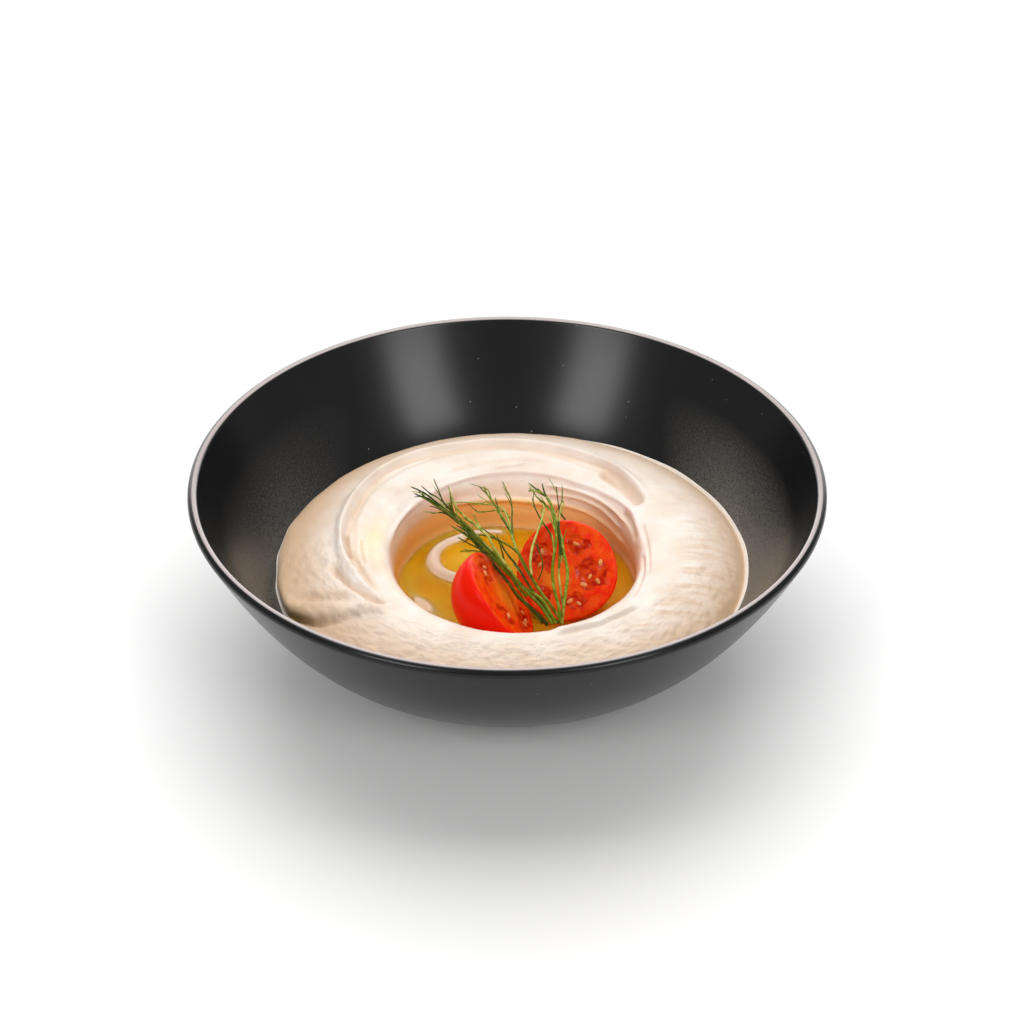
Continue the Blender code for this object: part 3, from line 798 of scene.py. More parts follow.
# Seeds in the jelly: place on the cut face, turn in degrees
SEEDS = {
    "tomato_half_left": ((-0.10, -0.74, 20.0), (-0.30, -0.66, 70.0), (0.10, -0.66, 110.0),
                         (0.10, 0.56, 40.0), (0.34, 0.54, 130.0), (-0.58, -0.12, 15.0), (0.64, -0.08, 80.0)),
    "tomato_half_right": ((0.66, 0.19, 82.0), (0.34, -0.26, -12.0), (0.46, -0.10, 65.0),
                          (0.62, -0.18, 120.0), (0.16, 0.54, 160.0), (-0.50, 0.36, 100.0),
                          (-0.54, 0.10, 60.0),
                          (0.08, -0.60, 40.0), (0.26, -0.64, 150.0)),
}


def tomato_place(name):
    """Centre of a half's cut face and its directions; the sphere of the whole fruit touches the box."""
    low, high = box_mm(name)
    normal = Vector(TOMATO_HALVES[name]).normalized()
    reach = TOMATO_RADIUS - 0.1
    centre = Vector([low[k] + reach if normal[k] > 0.0 else high[k] - reach for k in range(3)])
    normal = Vector(TURNED.get(name, normal)).normalized()
    up = (Vector((0.0, 0.0, 1.0)) - normal * normal.z).normalized()
    return centre, up.cross(normal), up, normal


def chamber_depth(name, u, v):
    """How far inside a seed chamber a point of the cut face is: 0 outside, 1 well inside."""
    depth = np.zeros_like(u)
    for cu, cv, half_u, half_v, tilt in CHAMBERS[name]:
        a = math.radians(tilt)
        du = u - cu + 0.030 * np.sin(17.0 * v + 3.0 * u) + 0.016 * np.sin(41.0 * u + 11.0 * v)
        dv = v - cv + 0.030 * np.sin(15.0 * u - 4.0 * v) + 0.016 * np.sin(37.0 * v - 13.0 * u)
        pu = (du * math.cos(a) + dv * math.sin(a)) / half_u
        pv = (-du * math.sin(a) + dv * math.cos(a)) / half_v
        depth = np.maximum(depth, 1.0 - smoothstep(0.70, 1.05, np.hypot(pu, pv)))
    return depth


def face_relief(name, u, v):
    """Height of the cut face above its plane, in millimetres."""
    depth = chamber_depth(name, u, v)
    rho = np.hypot(u, v)
    lumps = np.abs(np.sin(8.0 * u + 5.0 * v + 1.0) * np.sin(7.0 * v - 6.0 * u + 2.0))
    cut = 0.10 * np.sin(9.0 * u + 4.0 * v) + 0.06 * np.sin(19.0 * v - 7.0 * u)
    rolled = 0.5 * smoothstep(0.955, 1.0, rho) ** 2
    return 0.3 * (1.0 - rho ** 2) + cut + depth * (-0.40 + 0.42 * lumps) - rolled


def tomato_mesh(name, material):
    """A half fruit: cut face with its wall, chambers and core, and the skin round the dome."""
    centre, side, up, normal = (np.array(p) for p in tomato_place(name))
    steps, face_rings, dome_rings = 144, 56, 30
    a = np.arange(steps) * math.tau / steps
    lobes = 1.0 + 0.010 * np.cos(3.0 * a + 0.6) + 0.007 * np.cos(5.0 * a + 2.0)
    core_u, core_v, core_size = CORES[name]
    rows, masks = [], []
    for ring in range(face_rings + 1):
        rho = ring / face_rings
        here = a if ring else a[:1]          # the middle is a single point
        u, v = rho * np.cos(here), rho * np.sin(here)
        reach = TOMATO_RADIUS * 0.995 * lobes[:len(here)]
        rows.append((reach * u, reach * v, face_relief(name, u, v)))
        core = bump(np.hypot(u - core_u, v - core_v), 0.0, core_size)
        masks.append((chamber_depth(name, u, v), core, smoothstep(0.975, 0.995, rho) + 0.0 * u))
    for ring in range(1, dome_rings + 1):
        t = ring / dome_rings * math.pi / 2
        reach = TOMATO_RADIUS * lobes * math.cos(t)
        drop = TOMATO_RADIUS * 0.985 * math.sin(t) + 0.5
        rows.append((reach * np.cos(a), reach * np.sin(a), 0.0 * a - drop))
        masks.append((0.0 * a, 0.0 * a, 0.0 * a + 1.0))
    u, v, w = (np.concatenate(parts)[:, None] for parts in zip(*rows))
    points = centre + u * side + v * up + w * normal
    faces = fan(1, steps, 0) + quads_between(len(rows) - 1, steps, first=1)
    piece = mesh_from(name.replace("tomato_half", "cherry_tomato"), points, faces, material)
    for label, values in zip(("chamber", "core", "skin"), zip(*masks)):
        point_attribute(piece.data, label, np.concatenate(values))
    welded = bmesh.new()
    welded.from_mesh(piece.data)
    bmesh.ops.remove_doubles(welded, verts=welded.verts, dist=0.002 * MM)
    bmesh.ops.recalc_face_normals(welded, faces=welded.faces)
    welded.to_mesh(piece.data)
    welded.free()
    return piece


def seed_places(name):
    """Where a half's seeds lie: point in millimetres, rotation and size."""
    centre, side, up, normal = tomato_place(name)
    places = []
    for u, v, turn in SEEDS[name]:
        rise = float(face_relief(name, np.array([u]), np.array([v]))[0]) + 0.1
        point = centre + (side * u + up * v) * TOMATO_RADIUS + normal * rise
        along = side * math.cos(math.radians(turn)) + up * math.sin(math.radians(turn))
        rotation = Matrix((along, normal.cross(along), normal)).transposed().to_euler()
        places.append((point, rotation, 0.85 + 0.3 * abs(math.sin(7.0 * u + 3.0 * v))))
    return places


def tomato_flesh(settings):
    """Ripe cherry tomato: thin glossy skin, wet flesh paler towards the core, red jelly in the chambers."""
    material, tree, shader = new_material(
        "ripe cherry tomato", IOR=1.36, Subsurface_Weight=0.22, Subsurface_Scale=1.2 * MM,
        Subsurface_Radius=(1.0, 0.22, 0.06), Specular_IOR_Level=0.25, Coat_Weight=0.05, Coat_Roughness=0.06,
    )
    where = object_place(tree)
    veins, jelly = noise(tree, where, 2.6, 3.0), noise(tree, where, 2.0, 2.0)
    chamber, core, skin = mask(tree, "chamber"), mask(tree, "core"), mask(tree, "skin")
    flesh = blend_colours(tree, spread(tree, veins, 0.35, 0.65), settings.flesh, settings.flesh_deep)
    flesh = blend_colours(tree, core, flesh, settings.core)
    gel = blend_colours(tree, spread(tree, jelly, 0.40, 0.62), settings.jelly, settings.jelly_light)
    cut = blend_colours(tree, spread(tree, chamber, 0.15, 0.75), flesh, gel)
    drive(tree, shader, Base_Color=blend_colours(tree, skin, cut, settings.skin),
          Coat_Weight=spread(tree, chamber, 0.2, 0.8, 0.05, 0.12),
          Roughness=spread(tree, chamber, 0.0, 0.6, 0.30, 0.09))
    fine_relief(tree, shader, veins, spread(tree, skin, 0.0, 1.0, 0.9, 0.01), 0.5)
    return material


def seed_material(settings):
    """Tomato seed in its jelly: pale straw, a little see-through, wet."""
    material, tree, shader = new_material(
        "wet tomato seed", IOR=1.45, Roughness=0.15, Subsurface_Weight=0.3, Subsurface_Scale=0.8 * MM,
        Coat_Weight=0.5, Coat_Roughness=0.05,
    )
    grain = noise(tree, object_place(tree), 0.8)
    drive(tree, shader, Base_Color=blend_colours(tree, grain, settings.seed, linear("#F2A860")))
    return material


def place_tree():
    """Puts a small body at each point, turned to the point's own frame and sized by its own number."""
    tree, given, out = new_tree("place small bodies", {
        "Length": "NodeSocketFloat", "Width": "NodeSocketFloat", "Thickness": "NodeSocketFloat",
        "Material": "NodeSocketMaterial",
    })
    ball = add_node(tree, "GeometryNodeMeshUVSphere", {"Segments": 12, "Rings": 8, "Radius": 0.5})
    shape = add_node(tree, "ShaderNodeCombineXYZ", {
        "X": given.outputs["Length"], "Y": given.outputs["Width"], "Z": given.outputs["Thickness"],
    })
    body = add_node(tree, "GeometryNodeTransform", {"Geometry": ball.outputs[0], "Scale": shape.outputs[0]})
    placed = add_node(tree, "GeometryNodeInstanceOnPoints", {
        "Points": given.outputs["Geometry"], "Instance": body.outputs[0],
        "Rotation": stored(tree, "turn", "FLOAT_VECTOR"), "Scale": stored(tree, "size"),
    })
    real = add_node(tree, "GeometryNodeRealizeInstances", {"Geometry": placed.outputs[0]})
    close_tree(tree, real.outputs[0], given.outputs["Material"], out)
    return tree


def scatter(name, places, tree, values):
    """Small bodies at these places: point in millimetres, rotation, size."""
    mesh = bpy.data.meshes.new(name)
    mesh.from_pydata([tuple(c * MM for c in point) for point, _, _ in places], [], [])
    turn = mesh.attributes.new("turn", "FLOAT_VECTOR", "POINT")
    turn.data.foreach_set("vector", np.array([tuple(r) for _, r, _ in places], np.float32).ravel())
    point_attribute(mesh, "size", [s for _, _, s in places])
    piece = new_object(name, mesh)
    run_tree(piece, tree, values)
    return piece


# ---------------------------------------------------------------- dill

# Strands of the three sprigs: sprig, radius at the cut end and at the tip, and points from the cut end,
# counted from the low corner of the sprig's own box
STRANDS = (
    ("left", 0.44, 0.16, ((46.5, 2.8, -1.0), (42.8, 7.6, 0.3), (37.9, 13.9, 1.1), (35.4, 17.0, 3.2),
      (31.9, 21.3, 5.6), (28.9, 25.1, 7.1), (26.4, 28.3, 9.2), (23.3, 32.2, 10.8), (20.3, 35.3, 12.9),
      (16.7, 38.9, 14.7), (13.1, 42.4, 15.7), (9.5, 45.6, 16.9), (5.0, 49.2, 16.9))),
    ("left", 0.42, 0.20, ((47.9, -0.1, 1.5), (44.7, 4.0, 4.8), (40.8, 9.1, 5.9), (36.9, 14.1, 7.1),
      (32.9, 19.0, 8.4), (29.4, 23.5, 10.2), (25.9, 28.0, 11.3), (22.3, 32.2, 12.6), (19.3, 35.3, 14.1),
      (15.7, 38.9, 15.3), (12.6, 41.8, 15.2), (9.5, 44.6, 15.7), (7.4, 46.4, 15.7))),
    ("left", 0.36, 0.20, ((48.9, 1.3, 0.7), (45.7, 4.3, 5.8), (43.3, 7.5, 6.4), (39.9, 12.0, 5.6),
      (36.9, 15.7, 6.6), (33.9, 19.4, 8.8), (30.9, 23.2, 9.8), (27.9, 27.0, 10.7), (24.4, 31.5, 11.3),
      (20.8, 35.3, 12.2), (18.2, 37.9, 14.1), (17.7, 38.6, 18.9))),
    ("left", 0.34, 0.16, ((38.9, 12.0, 6.8), (35.9, 15.7, 8.4), (33.4, 18.8, 9.2), (30.9, 22.0, 9.4),
      (28.4, 25.2, 10.8), (25.9, 28.4, 12.2), (23.4, 31.6, 13.7), (20.8, 34.1, 14.9), (17.3, 37.8, 16.4),
      (13.7, 41.3, 18.0), (10.6, 44.1, 18.0))),
    ("left", 0.24, 0.11, ((24.9, 31.2, 10.2), (22.3, 34.2, 11.2), (19.2, 37.3, 13.3), (17.2, 39.4, 15.0),
      (15.2, 41.4, 16.6), (13.7, 42.9, 19.9), (12.2, 44.3, 23.3))),
    ("left", 0.26, 0.13, ((27.9, 27.6, 9.1), (24.3, 32.1, 10.8), (20.8, 35.9, 12.4), (17.7, 39.0, 12.7),
      (14.6, 42.2, 12.1), (11.2, 45.2, 9.7))),
    ("left", 0.26, 0.13, ((31.9, 22.7, 7.0), (28.9, 26.5, 8.0), (25.9, 30.4, 7.1), (22.8, 34.1, 6.3),
      (19.4, 37.4, 6.4))),
    ("left", 0.28, 0.14, ((34.9, 18.4, 5.9), (31.9, 22.1, 6.9), (28.9, 25.9, 7.5), (25.9, 29.8, 6.3),
      (22.8, 33.5, 4.0), (20.2, 36.1, 1.8))),
    ("left", 0.32, 0.20, ((35.9, 14.7, 9.7), (32.9, 18.4, 11.9), (30.5, 21.6, 13.9), (29.0, 23.5, 16.2),
      (27.0, 26.1, 16.6), (24.4, 29.3, 17.1), (21.9, 32.1, 17.6), (19.4, 34.7, 18.8), (18.1, 36.0, 20.9))),
    ("left", 0.30, 0.14, ((43.3, 8.7, 9.2), (40.8, 11.9, 11.8), (38.4, 15.1, 15.3), (35.4, 18.8, 16.0),
      (31.4, 23.7, 15.2), (27.4, 28.8, 13.1), (24.3, 32.7, 9.8), (22.0, 35.3, 7.0))),
    ("left", 0.30, 0.18, ((40.4, 10.6, 3.6), (37.9, 13.7, 4.4), (35.4, 16.8, 7.0), (32.9, 19.8, 9.1),
      (30.9, 22.4, 11.0), (28.4, 25.6, 11.7), (25.9, 28.8, 12.6), (23.4, 32.0, 12.8), (20.8, 34.5, 14.0))),
    ("left", 0.22, 0.12, ((34.4, 19.7, 6.1), (33.7, 20.6, 9.2), (32.9, 21.5, 12.8), (31.8, 22.9, 15.5),
      (28.9, 26.6, 15.6), (26.4, 29.8, 15.5))),
    ("left", 0.26, 0.14, ((17.2, 37.6, 15.0), (14.1, 40.6, 15.3), (11.0, 43.4, 16.2), (7.9, 46.2, 15.6))),
    ("left", 0.22, 0.10, ((19.8, 36.2, 12.3), (16.7, 39.3, 13.2), (13.6, 42.3, 13.5), (10.7, 44.8, 12.8))),
    ("left", 0.34, 0.24, ((45.0, 4.3, -1.6), (40.9, 9.7, 0.5), (36.9, 14.7, 2.4), (33.4, 19.0, 4.8),
      (30.4, 22.8, 6.3), (27.4, 26.6, 7.9), (24.4, 30.5, 9.5), (21.3, 33.8, 10.8))),
    ("middle", 0.40, 0.18, ((27.6, 0.7, -0.3), (24.7, 4.3, 2.9), (21.7, 7.4, 5.5), (18.8, 11.2, 8.2),
      (16.3, 15.5, 10.6), (13.8, 21.1, 13.3), (12.3, 27.5, 14.3), (10.3, 32.5, 15.1), (8.3, 36.8, 16.1),
      (6.3, 40.6, 17.0), (5.1, 43.1, 17.4), (4.6, 45.8, 17.9))),
    ("middle", 0.34, 0.20, ((26.7, -0.5, 0.3), (23.4, 1.9, 2.8), (20.2, 5.4, 5.7), (17.3, 9.1, 8.5),
      (14.6, 13.3, 10.9), (11.8, 16.6, 12.8), (9.8, 19.9, 14.2))),
    ("middle", 0.25, 0.11, ((14.3, 19.9, 12.4), (13.4, 23.9, 13.2), (13.1, 28.1, 13.9), (12.9, 32.4, 14.6),
      (13.0, 36.4, 15.5), (12.5, 41.2, 16.5), (11.3, 44.8, 17.2), (10.0, 46.9, 18.9))),
    ("middle", 0.24, 0.12, ((13.6, 23.0, 12.6), (12.8, 27.3, 13.2), (12.2, 31.6, 13.9), (11.2, 35.0, 14.6),
      (10.2, 37.6, 15.2), (7.3, 39.0, 15.5), (3.7, 39.7, 15.7), (-2.4, 40.2, 15.8), (-6.4, 39.8, 15.7),
      (-9.1, 38.9, 15.5))),
    ("middle", 0.18, 0.10, ((12.3, 33.9, 14.2), (11.1, 36.2, 14.7), (8.8, 37.2, 14.9), (5.8, 36.6, 14.8),
      (2.7, 36.2, 14.7), (1.5, 37.6, 15.0))),
    ("middle", 0.16, 0.10, ((10.8, 30.5, 15.3), (9.8, 33.2, 15.8), (7.0, 38.9, 17.2), (5.7, 43.6, 18.0),
      (4.5, 44.3, 18.1))),
    ("right", 0.42, 0.22, ((13.3, 0.9, -2.5), (13.8, 2.4, 2.2), (14.5, 5.3, 6.2), (15.1, 9.7, 9.7),
      (14.4, 13.9, 12.1), (13.4, 19.2, 14.4), (12.5, 24.2, 16.4), (11.3, 29.5, 17.6), (10.1, 34.3, 18.6),
      (8.2, 37.5, 19.1), (5.6, 38.4, 19.7), (3.6, 38.4, 19.7))),
    ("right", 0.38, 0.22, ((12.7, -0.1, -0.5), (12.4, 1.7, 3.4), (11.1, 4.7, 7.5), (10.6, 9.2, 10.7),
      (11.1, 14.0, 13.3), (11.8, 18.8, 15.4), (11.7, 23.2, 17.1), (11.0, 27.9, 18.1), (10.4, 31.8, 19.0),
      (8.9, 35.1, 19.6))),
    ("right", 0.30, 0.16, ((12.6, 11.9, 9.9), (12.9, 17.9, 12.9), (12.7, 21.6, 14.6), (12.3, 25.7, 16.0),
      (11.6, 28.3, 16.6), (10.6, 31.0, 17.2), (8.9, 33.6, 17.8), (7.6, 35.4, 18.1), (6.1, 37.2, 18.4),
      (5.4, 39.1, 18.7))),
    ("right", 0.32, 0.18, ((4.4, 8.8, 9.7), (4.1, 13.0, 12.2), (4.9, 17.8, 14.2), (6.5, 22.5, 16.4),
      (7.5, 26.5, 17.2), (8.4, 30.8, 18.2), (7.8, 33.3, 18.7))),
    ("right", 0.26, 0.12, ((11.5, 15.4, 12.3), (10.7, 20.7, 14.6), (9.3, 23.6, 15.9), (7.8, 26.6, 16.5),
      (6.6, 29.3, 17.1), (5.5, 32.6, 17.9), (4.8, 36.2, 18.6))),
    ("right", 0.20, 0.11, ((14.7, 28.2, 16.2), (13.6, 30.1, 16.6), (12.9, 32.7, 17.2), (12.5, 36.9, 18.0),
      (12.1, 39.6, 20.7))),
    ("right", 0.24, 0.15, ((13.4, 14.2, 13.1), (13.0, 17.9, 14.8), (12.7, 22.8, 16.8), (12.8, 27.4, 17.8),
      (13.1, 31.0, 18.7), (13.9, 34.0, 19.2))),
    ("right", 0.16, 0.12, ((6.5, 8.4, 8.2), (7.7, 11.7, 10.1), (7.5, 14.5, 11.7), (6.3, 18.0, 13.2),
      (5.6, 19.2, 13.7))),
    ("right", 0.26, 0.16, ((13.7, 4.0, 2.3), (12.8, 7.4, 7.1), (12.5, 12.1, 9.8), (13.4, 14.9, 11.4),
      (14.0, 18.1, 12.8), (13.5, 22.3, 14.7))),
    ("right", 0.14, 0.12, ((13.1, 30.5, 16.3), (13.9, 32.6, 16.8), (14.4, 34.6, 17.3), (14.0, 36.3, 17.5),
      (13.5, 35.0, 17.3))),
)


# Where each sprig's random draws start, and the share of a strand that bears no side threads
DILL_DRAWS = {"left": 11, "middle": 23, "right": 37}
BARE_STALK = 0.45


def smooth_path(points, pieces=5):
    """Evenly curved points through the given ones."""
    points = np.array(points, float)
    where = np.linspace(0.0, len(points) - 1.0, (len(points) - 1) * pieces + 1)
    return np.stack([catmull(points[None, :, k], where)[0] for k in range(3)], 1)


def strand_tree():
    """Draws a round thread along each path, as thick as its points say, and closes its ends."""
    tree, given, out = new_tree("thread along a path", {
        "Sides": "NodeSocketInt", "Thickness": "NodeSocketFloat", "Material": "NodeSocketMaterial",
    })
    path = add_node(tree, "GeometryNodeMeshToCurve", {"Mesh": given.outputs["Geometry"]})
    radius = maths(tree, "MULTIPLY", stored(tree, "girth"), given.outputs["Thickness"])
    sized = add_node(tree, "GeometryNodeSetCurveRadius", {"Curve": path.outputs[0], "Radius": radius})
    ring = add_node(tree, "GeometryNodeCurvePrimitiveCircle", {
        "Resolution": given.outputs["Sides"], "Radius": 1.0,
    })
    tube = add_node(tree, "GeometryNodeCurveToMesh", {
        "Curve": sized.outputs[0], "Profile Curve": ring.outputs[0], "Fill Caps": True,
    })
    if "Scale" in tube.inputs:
        tree.links.new(radius, tube.inputs["Scale"])
    close_tree(tree, tube.outputs[0], given.outputs["Material"], out)
    return tree


def dill_mesh(sprig, settings, tree, material):
    """One sprig: its stalks and the thread-like leaves that leave them."""
    low, _ = box_mm("dill_sprig_" + sprig)
    rng = np.random.default_rng(DILL_DRAWS[sprig])
    points, edges, girths, tints, alongs = [], [], [], [], []

    def draw(path, thick, thin, tint):
        first = len(points)
        share = np.linspace(0.0, 1.0, len(path))
        points.extend(path)
        edges.extend((first + i, first + i + 1) for i in range(len(path) - 1))
        taper = thick + (thin - thick) * share ** 1.3
        taper[-1] *= 0.35
        girths.extend(taper)
        tints.extend([tint] * len(path))
        alongs.extend(share)

    for name, thick, thin, route in STRANDS:
        if name != sprig:
            continue
        path = smooth_path(np.array(route) + np.array(low))
        draw(path, thick, thin, rng.random())
        for _ in range(int(settings.side_threads * len(path))):
            at = rng.integers(int(BARE_STALK * len(path)), len(path) - 3)
            ahead = path[at + 3] - path[at]
            ahead /= np.linalg.norm(ahead)
            sideways = np.cross(ahead, rng.normal(size=3))
            sideways /= np.linalg.norm(sideways)
            length = rng.uniform(3.0, 8.0)
            bend = rng.uniform(0.12, 0.42)
            t = np.linspace(0.0, 1.0, 7)[:, None]
            leaf = path[at] + length * (t * ahead + bend * t ** 1.5 * sideways)
            draw(leaf, thin * 1.1, thin * 0.7, rng.random())
    mesh = bpy.data.meshes.new("dill_" + sprig)
    mesh.from_pydata([tuple(float(c) * MM for c in p) for p in points], edges, [])
    for label, values in (("girth", girths), ("tint", tints), ("along", alongs)):
        point_attribute(mesh, label, values)
    piece = new_object("dill_" + sprig, mesh)
    run_tree(piece, tree, {"Sides": 8, "Thickness": MM * settings.thickness, "Material": material})
    return piece


def dill_leaf(settings):
    """Fresh dill: thin ribbed threads, dark green, some yellower, with a faint waxy shine."""
    material, tree, shader = new_material(
        "fresh dill", IOR=1.38, Roughness=0.42, Specular_IOR_Level=0.3, Subsurface_Weight=0.1,
        Subsurface_Scale=0.4 * MM, Subsurface_Radius=(0.6, 1.0, 0.15),
    )
    streaks = noise(tree, object_place(tree), 1.6, 3.0)
    mixed = maths(tree, "ADD", mask(tree, "tint"), streaks)
    green = blend_colours(tree, spread(tree, mixed, 0.6, 1.25), settings.leaf_dark, settings.leaf)
    green = blend_colours(tree, spread(tree, mixed, 1.15, 1.45, 0.0, 0.6), green, settings.leaf_pale)
    drive(tree, shader, Base_Color=green)
    fine_relief(tree, shader, streaks, 0.3, 0.1)
    return material


# ---------------------------------------------------------------- stage

def lay_floor(settings):
    """A wide pale floor under the bowl."""
    corners = [(-4000, -4000, 0), (4000, -4000, 0), (4000, 6000, 0), (-4000, 6000, 0)]
    material, tree, shader = new_material("white laminate", Roughness=0.55, Specular_IOR_Level=0.3)
    tone = spread(tree, noise(tree, object_place(tree), 300.0), 0.3, 0.7)
    drive(tree, shader, Base_Color=blend_colours(tree, tone, settings.floor, linear("#F7F6F5")))
    floor = mesh_from("floor", corners, [(0, 1, 2, 3)], material, smooth=False)


def light_room(settings, scene):
    """A dim white room, a softbox and a lit backdrop behind, and a tall softbox at each side."""
    world = bpy.data.worlds.new("studio room")
    world.use_nodes = True
    background = world.node_tree.nodes["Background"]
    background.inputs["Color"].default_value = linear("#FFFFFF")
    background.inputs["Strength"].default_value = settings.sky
    scene.world = world
    aim = Vector((0.0, 0.0, BOWL_HEIGHT * MM / 2))
    for name, place, size, power in (
        ("key softbox", (0.0, 0.80, 1.90), (2.3, 1.8), settings.key),
        ("white backdrop", (0.0, 2.15, 0.58), (3.6, 1.1), settings.backdrop),
        ("tall softbox left", (-0.85, -1.10, 0.92), (0.55, 0.85), settings.side),
        ("tall softbox right", (0.85, -1.10, 0.92), (0.55, 0.85), settings.side),
    ):
        light = bpy.data.lights.new(name, "AREA")
        light.shape = "RECTANGLE"
        light.size, light.size_y = size
        light.energy = power
        lamp = bpy.data.objects.new(name, light)
        lamp.location = place
        lamp.rotation_euler = (aim - Vector(place)).to_track_quat("-Z", "Y").to_euler()
        scene.collection.objects.link(lamp)


def set_camera(settings, scene):
    """A long lens that looks down on the bowl's mouth from the front."""
    data = bpy.data.cameras.new("camera")
    data.lens = settings.lens
    data.sensor_width = 36.0
    data.clip_start = 0.05
    data.shift_x = 0.0047
    data.shift_y = -0.0319
    camera = bpy.data.objects.new("camera", data)
    level = settings.distance * math.cos(settings.elevation)
    above = settings.distance * math.sin(settings.elevation)
    camera.location = (0.0, -level, (BOWL_HEIGHT - 1.5) * MM + above)
    camera.rotation_euler = (math.pi / 2 - settings.elevation, 0.0, 0.0)
    scene.collection.objects.link(camera)
    scene.camera = camera
    scene.view_settings.view_transform = "Standard"


# ---------------------------------------------------------------- settings

class BowlSettings(bpy.types.PropertyGroup):
    glaze: colour_property("Glaze", "Colour of the satin black glaze", "#0D0E10")
    glaze_worn: colour_property("Glaze, thin", "Colour where the glaze lies thinner", "#151617")
    # Painted glare: the grey of the food's reflection in the inner wall
    painted_glare: colour_property("Haze", "Colour of the greasy haze beside the food", "#7A756E")
    # Painted highlight along the lip
    lip: colour_property("Lip", "Colour of the lip where the glaze is thin", "#BFB2B0")
    gloss: FloatProperty(name="Roughness", description="Roughness of the satin glaze", default=0.23,
                         min=0.0, max=1.0, subtype="FACTOR")
    segments: IntProperty(name="Segments", description="Steps round the bowl", default=192, min=32)


class HummusSettings(bpy.types.PropertyGroup):
    cream: colour_property("Cream", "Colour of the paste", "#F6EBE1")
    cream_deep: colour_property("Cream, deep", "Colour of the paste where it is denser", "#ECDCCC")
    # Painted shade on the slopes, the well's top and the grooves; also the colour of the smear streaks
    painted_shade_and_streaks: colour_property("Outer slope", "Colour of the drier paste by the bowl", "#D8B48F")
    # Painted shadow in the fold's crease
    crease: colour_property("Crease", "Colour in the deep end of the fold", "#A98448")
    # Oil film on the well's wall, and painted shade in the well
    damp_and_painted_shade: colour_property("Damp", "Colour of the well's wall under its film of oil", "#F8B850")
    soaked: colour_property("Soaked", "Colour under the oil", "#FFF0A0")
    mark_depth: FloatProperty(name="Mark depth", description="How strongly the marks show", default=1.6)
    wave: length_property("Wave height", "Slow unevenness of the spread surface", 0.5)
    crumb: length_property("Crumb height", "Raggedness where the spoon tore the surface", 2.4)
    smear: length_property("Smear height", "Fine streaks on the right-hand slope", 0.8)
    steps: IntProperty(name="Steps", description="Steps round the ring", default=440, min=60)


class OilSettings(bpy.types.PropertyGroup):
    oil: colour_property("Oil", "What the oil lets through", "#FFF200")
    oil_strength: FloatProperty(name="Absorption", description="How fast the oil deepens, per metre",
                                default=820.0)


class TomatoSettings(bpy.types.PropertyGroup):
    skin: colour_property("Skin", "Colour of the skin", "#FF1A00")
    flesh: colour_property("Flesh", "Colour of the outer wall", "#FF5606")
    flesh_deep: colour_property("Flesh, deep", "Colour of the wall's darker veins", "#FA2600")
    core: colour_property("Core", "Colour of the middle", "#FF8C22")
    jelly: colour_property("Jelly", "Colour of the seed jelly", "#C41C00")
    jelly_light: colour_property("Jelly, light", "Colour of the jelly where it is thin", "#F04C08")
    seed: colour_property("Seed", "Colour of the seeds", "#F08C3C")


class DillSettings(bpy.types.PropertyGroup):
    leaf: colour_property("Leaf", "Colour of most threads", "#7E9010")
    leaf_dark: colour_property("Leaf, dark", "Colour of the darkest threads", "#304000")
    leaf_pale: colour_property("Leaf, pale", "Colour of the pale streaks", "#DCDA80")
    thickness: FloatProperty(name="Thickness", description="Thickness against the drawn one", default=1.3)
    side_threads: FloatProperty(name="Side threads", description="Side threads to each path point",
                                default=0.09)


class StageSettings(bpy.types.PropertyGroup):
    floor: colour_property("Floor", "Colour of the floor", "#F5F5F5")
    distance: length_property("Distance", "Camera to the middle of the bowl's mouth", 760.0)
    elevation: FloatProperty(name="Elevation", description="How far the camera looks down", subtype="ANGLE",
                             default=math.radians(33.9))
    lens: FloatProperty(name="Lens", description="Focal length in millimetres", default=89.51)
    key: FloatProperty(name="Key", description="Power of the light above and behind", default=34.0)
    backdrop: FloatProperty(name="Backdrop", description="Power of the lit backdrop behind", default=30.0)
    side: FloatProperty(name="Side", description="Power of each tall softbox", default=7.2)
    sky: FloatProperty(name="Surroundings", description="Brightness of the room", default=0.31)


GROUPS = (BowlSettings, HummusSettings, OilSettings, TomatoSettings, DillSettings, StageSettings)


# ---------------------------------------------------------------- operators

class HUMMUS_OT_stage(bpy.types.Operator):
    """Set up the pale floor, the studio lights and the camera"""
    bl_idname = "hummus.stage"
    bl_label = "Stage"

    def execute(self, context):
        settings = context.scene.hummus_stage
        lay_floor(settings)
        light_room(settings, context.scene)
        set_camera(settings, context.scene)
        return {"FINISHED"}


class HUMMUS_OT_bowl(bpy.types.Operator):
    """Turn the stoneware bowl from its profile"""
    bl_idname = "hummus.bowl"
    bl_label = "Bowl"

    def execute(self, context):
        settings = context.scene.hummus_bowl
        profile = bowl_profile()
        path = mesh_from("stoneware_bowl", [(r, 0.0, z) for r, z in profile], [])
        run_tree(path, revolve_tree(), {"Segments": settings.segments, "Material": stoneware(settings)})
        hand_over(path, "stoneware", "bowl")
        return {"FINISHED"}


class HUMMUS_OT_hummus(bpy.types.Operator):
    """Spread the hummus, with its spoon marks and its well"""
    bl_idname = "hummus.hummus"
    bl_label = "Hummus"

    def execute(self, context):
        settings = context.scene.hummus_paste
        piece = hummus_mesh(settings)
        run_tree(piece, relief_tree(), {
            "Wave Size": 13.0 * MM, "Wave Height": settings.wave,
            "Crumb Size": 2.8 * MM, "Crumb Height": settings.crumb,
            "Smear Size": 1.6 * MM, "Smear Height": settings.smear, "Material": paste(settings),
        })
        hand_over(piece, "hummus", "hummus")
        return {"FINISHED"}


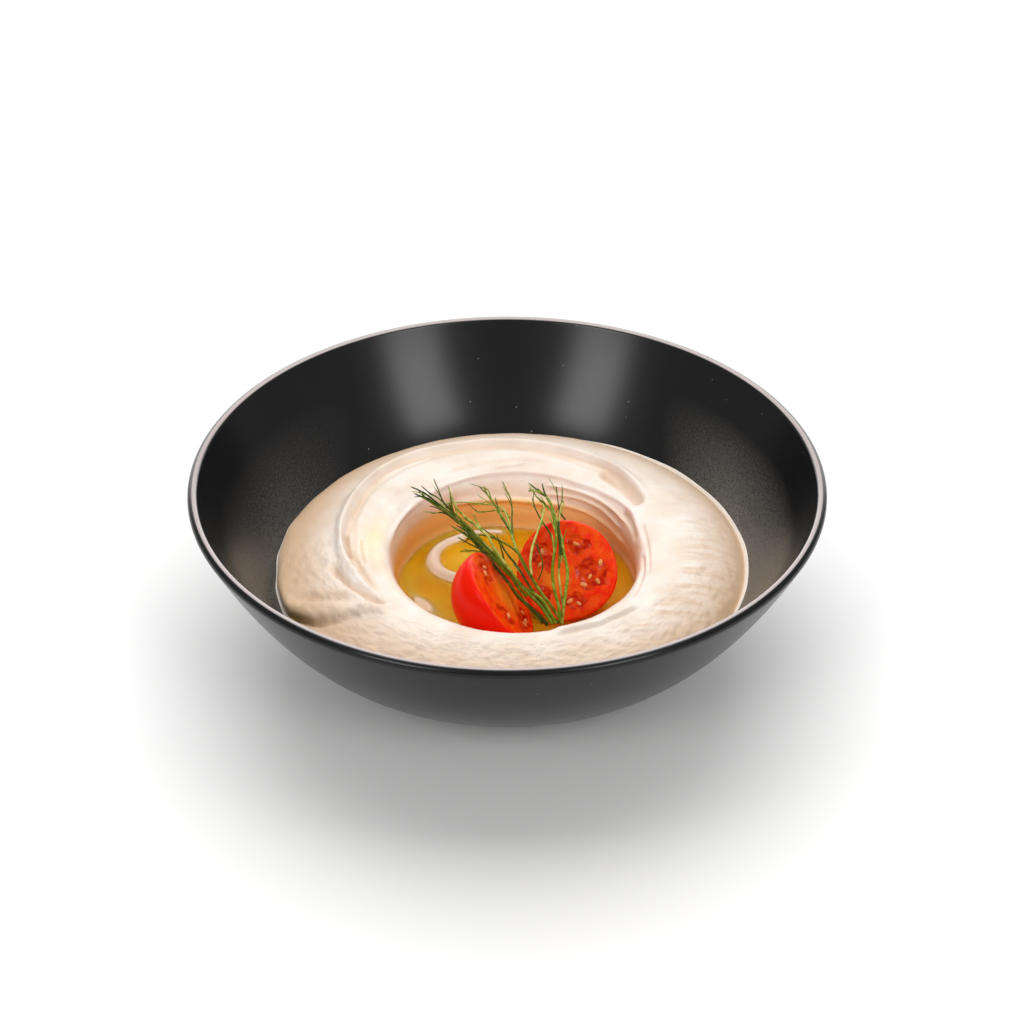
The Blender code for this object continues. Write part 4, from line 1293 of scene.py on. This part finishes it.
class HUMMUS_OT_oil(bpy.types.Operator):
    """Pour the olive oil into the well"""
    bl_idname = "hummus.oil"
    bl_label = "Olive oil"

    def execute(self, context):
        piece = oil_mesh(olive_oil(context.scene.hummus_oil))
        hand_over(piece, "oil", "oil_pool")
        return {"FINISHED"}


class HUMMUS_OT_tomatoes(bpy.types.Operator):
    """Set the two cherry tomato halves in the well"""
    bl_idname = "hummus.tomatoes"
    bl_label = "Tomato halves"

    def execute(self, context):
        settings = context.scene.hummus_tomatoes
        flesh, seed, tree = tomato_flesh(settings), seed_material(settings), place_tree()
        for name in TOMATO_HALVES:
            hand_over(tomato_mesh(name, flesh), "tomato", name)
            seeds = scatter(name.replace("tomato_half", "tomato_seeds"), seed_places(name), tree, {
                "Length": 2.0 * MM, "Width": 1.2 * MM, "Thickness": 0.7 * MM, "Material": seed,
            })
            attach(seeds, "root")
        return {"FINISHED"}


class HUMMUS_OT_dill(bpy.types.Operator):
    """Lay the three sprigs of dill across the tomato halves"""
    bl_idname = "hummus.dill"
    bl_label = "Dill"

    def execute(self, context):
        settings = context.scene.hummus_dill
        material, tree = dill_leaf(settings), strand_tree()
        for sprig in ("left", "middle", "right"):
            hand_over(dill_mesh(sprig, settings, tree, material), "dill", "dill_sprig_" + sprig)
        return {"FINISHED"}


OPERATORS = (HUMMUS_OT_stage, HUMMUS_OT_bowl, HUMMUS_OT_hummus, HUMMUS_OT_oil, HUMMUS_OT_tomatoes,
             HUMMUS_OT_dill)


class HUMMUS_PT_panel(bpy.types.Panel):
    """Lists the pieces, each with its settings"""
    bl_idname = "HUMMUS_PT_panel"
    bl_label = "Bowl of hummus"
    bl_space_type = "VIEW_3D"
    bl_region_type = "UI"
    bl_category = "Hummus"

    def draw(self, context):
        for operator, place in zip(OPERATORS, PLACES):
            box = self.layout.box()
            box.operator(operator.bl_idname)
            group = getattr(context.scene, place)
            for name in group.__annotations__:
                box.prop(group, name)


PLACES = {
    "hummus_stage": StageSettings, "hummus_bowl": BowlSettings, "hummus_paste": HummusSettings,
    "hummus_oil": OilSettings, "hummus_tomatoes": TomatoSettings, "hummus_dill": DillSettings,
}


def register():
    for kind in GROUPS + OPERATORS + (HUMMUS_PT_panel,):
        bpy.utils.register_class(kind)
    for place, kind in PLACES.items():
        setattr(bpy.types.Scene, place, PointerProperty(type=kind))


def unregister():
    for place in PLACES:
        delattr(bpy.types.Scene, place)
    for kind in reversed(GROUPS + OPERATORS + (HUMMUS_PT_panel,)):
        bpy.utils.unregister_class(kind)


def main():
    register()
    for operator in OPERATORS:
        category, name = operator.bl_idname.split(".")
        getattr(getattr(bpy.ops, category), name)()


if __name__ == "__main__":
    main()
